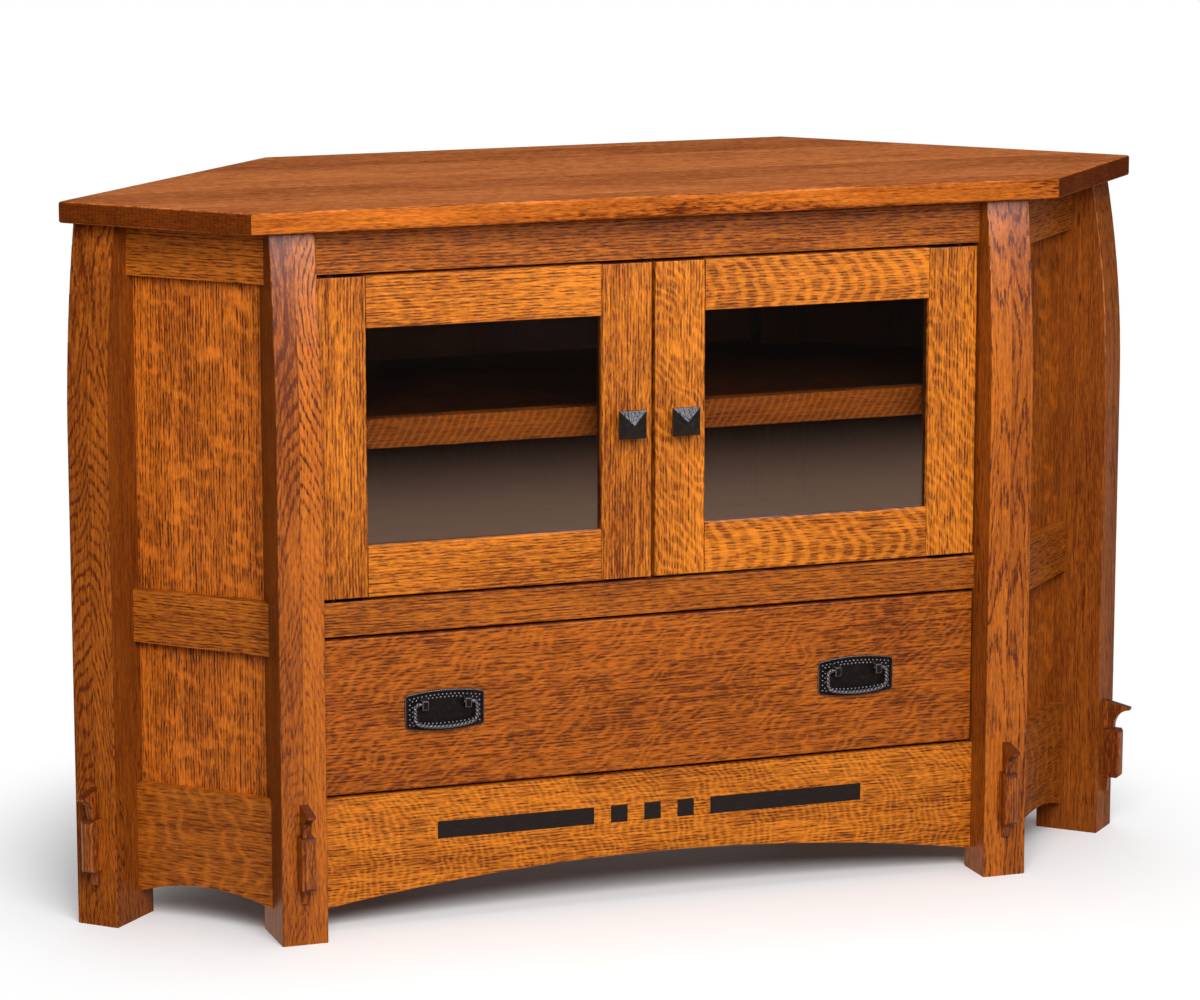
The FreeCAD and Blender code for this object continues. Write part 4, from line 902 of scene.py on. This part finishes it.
def twist_bail(side):
    """Rope-twist bail whose ends turn in the lugs."""
    sizes = bpy.context.scene.cabinet_hardware
    centre = pull_frame(side)[0]
    low, high = (Vector(corner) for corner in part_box(side + "_bail"))
    axis_y = (low.y + high.y) / 2
    thick = (high.y - low.y) / 2
    half = (high.x - low.x) / 2 - thick
    axis_z = high.z - thick
    drop = high.z - low.z - 2 * thick
    start = 30.5 * MM
    point_spacing = 0.6 * MM
    pin_end = 20.5 * MM
    pin_radius = 1.5 * MM
    collar = (start - 0.1 * MM, start + 1.4 * MM)
    collar_radius = thick * 0.97
    strand = thick * 0.50
    points = even_points(bail_line(half, drop, start), point_spacing)
    curve = bpy.data.curves.new(side + " bail strands", "CURVE")
    curve.dimensions = "3D"
    curve.bevel_depth = strand
    curve.bevel_resolution = 2
    curve.use_fill_caps = True
    for lay in range(sizes.rope_strands):
        spline = curve.splines.new("POLY")
        spline.points.add(len(points) - 1)
        travelled = 0.0
        for index, point in enumerate(points):
            before, after = points[max(index - 1, 0)], points[min(index + 1, len(points) - 1)]
            across = (after - before).normalized().cross(BACK)
            travelled += (point - points[max(index - 1, 0)]).length
            angle = 2 * math.pi * (travelled / sizes.rope_pitch + lay / sizes.rope_strands)
            shift = (across * math.cos(angle) + BACK * math.sin(angle)) * (thick - strand)
            spline.points[index].co = (*(point + shift), 1.0)
    rope = bpy.data.objects.new(side + " bail rope", curve)
    bpy.context.scene.collection.objects.link(rope)
    mesh = bpy.data.meshes.new_from_object(rope.evaluated_get(bpy.context.evaluated_depsgraph_get()))
    bm = bmesh.new()
    bm.from_mesh(mesh)
    bpy.data.objects.remove(rope)
    bpy.data.meshes.remove(mesh)
    for hand in (-1, 1):
        rod(bm, RIGHT * hand * pin_end, RIGHT * hand * (start + pin_radius), pin_radius, 16)
        rod(bm, RIGHT * hand * collar[0], RIGHT * hand * collar[1], collar_radius, 20)
    bmesh.ops.translate(bm, vec=(centre.x, axis_y, axis_z), verts=bm.verts)
    # The bail takes the rubbed iron: wear, and a painted highlight on its twist.
    metal = iron(side + " bail iron", marks=420.0, gloss=0.90, relief=0.2, iron_colour="rubbed_and_highlight_iron")
    piece = new_piece(side + "_rope_bail", bm, [metal], side + "_bail_loop", side + "_bail")
    for polygon in piece.data.polygons:
        polygon.use_smooth = True


# Operators

class CABINET_OT_top(bpy.types.Operator):
    """Stains the hexagonal top, glued up from boards that run left to right, its flat face with a painted
    sheen and its edges with the side stain
    """

    bl_idname = "cabinet.top"
    bl_label = "Top"

    def execute(self, context):
        # The top stain carries a painted sheen on the flat face; the upright edges take the side stain
        # without it.
        stain("top_panel", "top", RIGHT, BACK, board_width=0.083, variation=0.35, seed=2.0, coat=0.0,
              gloss=0.03, matt=0.16, edges="side", Rings=0.50, Streaks=2.4, Pores=0.55)
        return {"FINISHED"}


class CABINET_OT_legs(bpy.types.Operator):
    """Stains the legs, each of two boards, and the wedges and tenons"""

    bl_idname = "cabinet.legs"
    bl_label = "Legs, wedges and tenons"

    def execute(self, context):
        board = 0.026
        quiet = dict(coat=0.0, Rings=0.40, Pores=0.45)
        legs = {"front_leg_left": (RIGHT, 1.0, 0.13, -0.06, {**CHEVRON, "coat": 0.32, "rings_above": 0.52}),
                "front_leg_right": (RIGHT, 4.0, -0.08, 0.06, {**WILD_RINGS, "coat": 0.24}),
                "rear_leg_left": (LEFT_CANT, 7.0, 0.05, -0.18, {**CHEVRON, **quiet, "Rings": 0.75}),
                "rear_leg_right": (RIGHT_CANT, 9.0, -0.05, -0.15, quiet)}
        for node, (across, seed, step, shade, figure) in legs.items():
            left_board = self.glue_line(node, across) + across * board / 2
            stain(node, "leg", UP, across, left_board, cut="flat sawn", board_width=board, seed=seed,
                  step=step, shade=shade, **figure)
        ends = (("front_wedges", 3.0, -0.37), ("rear_wedges", 4.0, -0.37), ("floor_bearers", 6.0, -0.26),
                ("lower_back_rails", 7.0, -0.26))
        for node, seed, shade in ends:
            stain(node, "leg", UP, RIGHT, ORIGIN, seed=seed, shade=shade, coat=0.45)
        return {"FINISHED"}

    def glue_line(self, node, across):
        """Point at half height on the glue line of a leg's outer face."""
        corners = [vert.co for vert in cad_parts[node].data.vertices]
        spread = [corner.dot(across) for corner in corners]
        inward = UP.cross(across)
        depth = min(corner.dot(inward) for corner in corners)
        low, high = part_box(node)
        return across * (min(spread) + max(spread)) / 2 + inward * depth + UP * (low[2] + high[2]) / 2


class CABINET_OT_sides(bpy.types.Operator):
    """Stains the rails and panels of the canted sides, the right side darker with painted shade"""

    bl_idname = "cabinet.sides"
    bl_label = "Canted sides"

    def execute(self, context):
        rails = (("top", SLIGHT_FLECK, 0.18), ("mid", SLIGHT_FLECK, 0.10), ("bottom", CURLED_FLECK, -0.02))
        # The last number darkens the right side's rails and panels: painted shade for the side turned away
        # from the lamps.
        for side, along, seed, painted_shade in (("left", LEFT_CANT, 1.0, 0.0), ("right", RIGHT_CANT, 5.0, 0.10)):
            for level, fleck, shade in rails:
                stain("side_" + level + "_rail_" + side, "front", along, UP, seed=seed + len(level),
                      shade=shade - painted_shade / 2, **fleck)
            for level in ("upper", "lower"):
                node = "side_" + level + "_panel_" + side
                stain(node, "side", UP, along, seed=seed + 0.3 * len(node), shade=-painted_shade, **PATCHY_FLECK)
        return {"FINISHED"}


class CABINET_OT_front(bpy.types.Operator):
    """Stains the front rails and the apron, and blackens the inlay"""

    bl_idname = "cabinet.front"
    bl_label = "Front rails, apron and inlay"

    def execute(self, context):
        stain("front_top_rail", "front", RIGHT, UP, seed=3.0, shade=-0.05, **SLIGHT_FLECK)
        stain("front_mid_rail", "front", RIGHT, UP, seed=8.0, **SLIGHT_FLECK)
        stain("front_apron", "door", RIGHT, UP, seed=5.0, **RIPPLED_FLECK)
        finish("apron_inlay", ebonised("Inlay wood"))
        return {"FINISHED"}


class CABINET_OT_doors(bpy.types.Operator):
    """Stains the doors and glazes them"""

    bl_idname = "cabinet.doors"
    bl_label = "Doors"

    def execute(self, context):
        rail_width = 57.5 * MM
        stiles = {"left": (SLIGHT_FLECK, 2.0, -0.13), "right": (WAVY_FLECK, 6.0, -0.02)}
        rails = {"left": (SLIGHT_FLECK, 4.0, 0.0), "right": (ARCHED_FLECK, 7.0, -0.05)}
        for side in ("left", "right"):
            fleck, seed, shade = stiles[side]
            stain(side + "_door_stiles", "door", UP, RIGHT, seed=seed, shade=shade, **fleck)
            fleck, seed, shade = rails[side]
            node = side + "_door_rails"
            low, high = (Vector(corner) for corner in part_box(node))
            apart = high.z - low.z - rail_width
            stain(node, "door", RIGHT, UP, middle(node) - UP * apart / 2, seed=seed, board_width=apart,
                  shade=shade, **fleck)
            # The glass stops take the inside stain, darkened with painted shade.
            stain(side + "_door_glass_stops", "inner", RIGHT, UP, seed=seed, **CALM)
            finish(side + "_door_glass", clear_glass(side + " pane"))
        return {"FINISHED"}


class CABINET_OT_drawer(bpy.types.Operator):
    """Stains the drawer front and lacquers its box"""

    bl_idname = "cabinet.drawer"
    bl_label = "Drawer"

    def execute(self, context):
        stain("drawer_front", "drawer", RIGHT, UP, seed=9.0, shade=-0.05, **DRIFTING_FLECK)
        stain("drawer_box", "maple", RIGHT, UP, seed=1.0, boxed=True, Rings=0.1, Streaks=0.7, Pores=0.0)
        stain("drawer_bottom", "maple", RIGHT, BACK, seed=2.0, Rings=0.1, Streaks=0.35, Pores=0.0)
        return {"FINISHED"}


class CABINET_OT_inside(bpy.types.Operator):
    """Stains the boards inside and at the back of the cabinet with the dark inside stain, which is painted
    shade
    """

    bl_idname = "cabinet.inside"
    bl_label = "Inside and back"

    def execute(self, context):
        for number, node in enumerate(("cabinet_floor", "media_deck", "shelf_board")):
            stain(node, "inner", RIGHT, BACK, board_width=0.09, variation=0.3, seed=number + 1.0, **CALM)
        stain("shelf_nosing", "front", RIGHT, UP, seed=4.0, shade=-0.12, **HAIR_FLECK)
        bars = {"bay_sides": (BACK, UP, 2.0), "top_cleats": (RIGHT, UP, 5.0),
                "upper_back_rails": (RIGHT, UP, 7.0), "back_post_left": (UP, RIGHT, 6.0),
                "back_post_right": (UP, RIGHT, 6.0)}
        for node, (along, across, seed) in bars.items():
            stain(node, "inner", along, across, ORIGIN, seed=seed, **CALM)
        panels = {"back_panel_centre": RIGHT, "back_panel_left": RIGHT_CANT, "back_panel_right": LEFT_CANT}
        for node, across in panels.items():
            stain(node, "inner", UP, across, seed=8.0, **CALM)
        return {"FINISHED"}


class CABINET_OT_fittings(bpy.types.Operator):
    """Finishes hinges, slides, pins and the catch"""

    bl_idname = "cabinet.fittings"
    bl_label = "Hinges, slides, pins and catch"

    def execute(self, context):
        steel = plain_metal("Zinc plated steel", (0.52, 0.52, 0.50, 1.0), 1.0, 0.32)
        bronze = plain_metal("Dark bronzed steel", (0.014, 0.010, 0.008, 1.0), 0.0, 0.62, 0.05)
        for node in ("frame_hinge_leaves", "left_door_hinge_leaves", "right_door_hinge_leaves"):
            finish(node, bronze)
        for node in ("slide_channels", "slide_runners", "shelf_pins"):
            finish(node, steel)
        finish("door_catch", plain_metal("Catch plastic", (0.050, 0.030, 0.020, 1.0), 0.0, 0.50))
        return {"FINISHED"}


class CABINET_OT_knobs(bpy.types.Operator):
    """Forges the square knobs"""

    bl_idname = "cabinet.knobs"
    bl_label = "Knobs"

    def execute(self, context):
        for side in ("left", "right"):
            forge_knob(side)
        return {"FINISHED"}


class CABINET_OT_pulls(bpy.types.Operator):
    """Forges the drawer pulls: plates with lugs, and rope-twist bails"""

    bl_idname = "cabinet.pulls"
    bl_label = "Drawer pulls"

    def execute(self, context):
        for side in ("left", "right"):
            forge_plate(side)
            twist_bail(side)
        return {"FINISHED"}


class CABINET_OT_stage(bpy.types.Operator):
    """Sets up the floor, lamps, sky and camera"""

    bl_idname = "cabinet.stage"
    bl_label = "Studio"

    def execute(self, context):
        studio = context.scene.cabinet_studio
        self.lay_floor(context)
        self.light_sky(context, studio.sky)
        heart = Vector((0, 0, 0.45))
        low_heart = Vector((0, 0, 0.42))
        self.lamp(context, "Key lamp", Vector((-0.45, -2.35, 1.75)), heart, studio.key_power, (1.6, 1.3))
        self.lamp(context, "Top lamp", Vector((0.6, -0.1, 3.0)), heart, studio.top_power, (2.6, 2.0))
        sheen = self.lamp(context, "Sheen lamp", Vector((0.74, -1.785, 1.30)), heart, studio.sheen_power,
                          (0.70, 0.56))
        self.lamp(context, "Back lamp", Vector((0.3, 3.0, 0.42)), low_heart, studio.back_power, (2.4, 0.7))
        sheen.visible_diffuse = False
        sheen.data.color = (0.88, 0.86, 1.0)
        self.set_camera(context, studio)
        context.scene.view_settings.view_transform = "Standard"
        return {"FINISHED"}

    def lay_floor(self, context):
        """Pale floor that fades to the white background, and glows in reflections as a painted reflection."""
        reach = 5.0
        white_from, painted_reflection_fades = (0.50, 0.86), (2.15, 3.05)
        bm = bmesh.new()
        bmesh.ops.create_circle(bm, cap_ends=True, segments=96, radius=reach)
        mesh = bpy.data.meshes.new("floor")
        bm.to_mesh(mesh)
        bm.free()
        floor = bpy.data.objects.new("floor", mesh)
        context.scene.collection.objects.link(floor)
        material = bpy.data.materials.new("Studio floor")
        material.use_nodes = True
        wires = Wiring(material.node_tree)
        tree = material.node_tree
        tree.nodes.remove(tree.nodes["Principled BSDF"])
        place = wires.add("ShaderNodeTexCoord").outputs["Object"]
        path, looked_at = wires.rays()
        grain = wires.noise(place, FLOOR_CLOUDS)
        pale = wires.blend(grain, (0.90, 0.90, 0.90, 1.0), (0.93, 0.93, 0.93, 1.0))
        bounced = (0.36, 0.33, 0.31, 1.0)
        near_painted_reflection, far_painted_reflection = (1.0, 0.62, 0.45, 1.0), (0.020, 0.016, 0.014, 1.0)
        matt = wires.add("ShaderNodeBsdfDiffuse")
        wires.feed(matt.inputs["Color"], wires.blend(looked_at, bounced, pale))
        # For glossy rays the floor glows warm near the front and dark further off: a painted reflection,
        # mostly seen in the glass.
        forward = wires.times(wires.parts(place)[1], -1.0)
        painted_reflection = wires.blend(wires.step(forward, *painted_reflection_fades), near_painted_reflection, far_painted_reflection)
        far = wires.add("ShaderNodeEmission")
        wires.feed(far.inputs["Color"], wires.blend(looked_at, painted_reflection, (1.0, 1.0, 1.0, 1.0)))
        seen = wires.step(wires.vector("LENGTH", place), *white_from)
        shown = wires.times(seen, looked_at)
        reflected = wires.minus(path["Is Glossy Ray"], looked_at, clamp=True)
        blend = wires.add("ShaderNodeMixShader")
        wires.feed(blend.inputs[0], wires.math("MAXIMUM", shown, reflected))
        wires.feed(blend.inputs[1], matt.outputs[0])
        wires.feed(blend.inputs[2], far.outputs[0])
        wires.feed(tree.nodes["Material Output"].inputs["Surface"], blend.outputs[0])
        mesh.materials.append(material)

    def light_sky(self, context, strength):
        """Soft light from all round, with a white background for the camera."""
        world = bpy.data.worlds.new("Studio sky")
        context.scene.world = world
        world.use_nodes = True
        wires = Wiring(world.node_tree)
        tree = world.node_tree
        background = tree.nodes["Background"]
        looked_at = wires.rays()[1]
        height = wires.parts(wires.add("ShaderNodeTexCoord").outputs["Generated"])[2]
        low, high, low_light, high_light = -0.05, 0.75, 0.55, 1.5
        rise = wires.step(height, low, high, low_light, high_light)
        light = wires.times(rise, strength)
        level = wires.add("ShaderNodeMix", data_type="FLOAT")
        wires.feed(level.inputs[0], looked_at)
        wires.feed(level.inputs[2], light)
        level.inputs[3].default_value = 1.0
        wires.feed(background.inputs["Strength"], level.outputs[0])
        background.inputs["Color"].default_value = (1.0, 1.0, 1.0, 1.0)

    def lamp(self, context, name, place, aim, power, size):
        """Soft rectangular lamp aimed at a point."""
        data = bpy.data.lights.new(name, "AREA")
        data.shape = "RECTANGLE"
        data.size, data.size_y = size
        data.energy = power
        lamp = bpy.data.objects.new(name, data)
        lamp.location = place
        lamp.rotation_euler = (aim - place).to_track_quat("-Z", "Y").to_euler()
        lamp.visible_camera = False
        context.scene.collection.objects.link(lamp)
        return lamp

    def set_camera(self, context, studio):
        """Camera at the photographed angle."""
        data = bpy.data.cameras.new("camera")
        data.lens = studio.lens
        data.sensor_width = 36.0
        camera = bpy.data.objects.new("camera", data)
        camera.location = studio.camera_place
        camera.rotation_euler = Euler((math.pi / 2 - studio.camera_dip, 0, -studio.camera_turn))
        context.scene.collection.objects.link(camera)
        context.scene.camera = camera


class CABINET_PT_panel(bpy.types.Panel):
    """Lists the cabinet's steps in the sidebar."""

    bl_idname = "CABINET_PT_panel"
    bl_label = "Cabinet"
    bl_space_type = "VIEW_3D"
    bl_region_type = "UI"
    bl_category = "Cabinet"

    def draw(self, context):
        for operator in OPERATORS:
            self.layout.operator(operator.bl_idname)
        for settings in (getattr(context.scene, name) for name in SETTINGS):
            box = self.layout.box()
            for name in settings.bl_rna.properties.keys():
                if name not in ("rna_type", "name"):
                    box.prop(settings, name)


OPERATORS = (CABINET_OT_top, CABINET_OT_legs, CABINET_OT_sides, CABINET_OT_front, CABINET_OT_doors,
             CABINET_OT_drawer, CABINET_OT_inside, CABINET_OT_fittings, CABINET_OT_knobs, CABINET_OT_pulls,
             CABINET_OT_stage)
SETTINGS = {
    "cabinet_stain": CabinetStain, "cabinet_hardware": CabinetHardware, "cabinet_studio": CabinetStudio}


def register():
    for kind in (*SETTINGS.values(), *OPERATORS, CABINET_PT_panel):
        bpy.utils.register_class(kind)
    for name, kind in SETTINGS.items():
        setattr(bpy.types.Scene, name, PointerProperty(type=kind))


def unregister():
    for name in SETTINGS:
        delattr(bpy.types.Scene, name)
    for kind in (CABINET_PT_panel, *reversed(OPERATORS), *SETTINGS.values()):
        bpy.utils.unregister_class(kind)


def main():
    """Builds the finished cabinet and its studio."""
    register()
    build_board_group()
    build_oak_group()
    build_iron_group()
    bpy.ops.cabinet.top()
    bpy.ops.cabinet.legs()
    bpy.ops.cabinet.sides()
    bpy.ops.cabinet.front()
    bpy.ops.cabinet.doors()
    bpy.ops.cabinet.drawer()
    bpy.ops.cabinet.inside()
    bpy.ops.cabinet.fittings()
    bpy.ops.cabinet.knobs()
    bpy.ops.cabinet.pulls()
    bpy.ops.cabinet.stage()


if __name__ == "__main__":
    main()
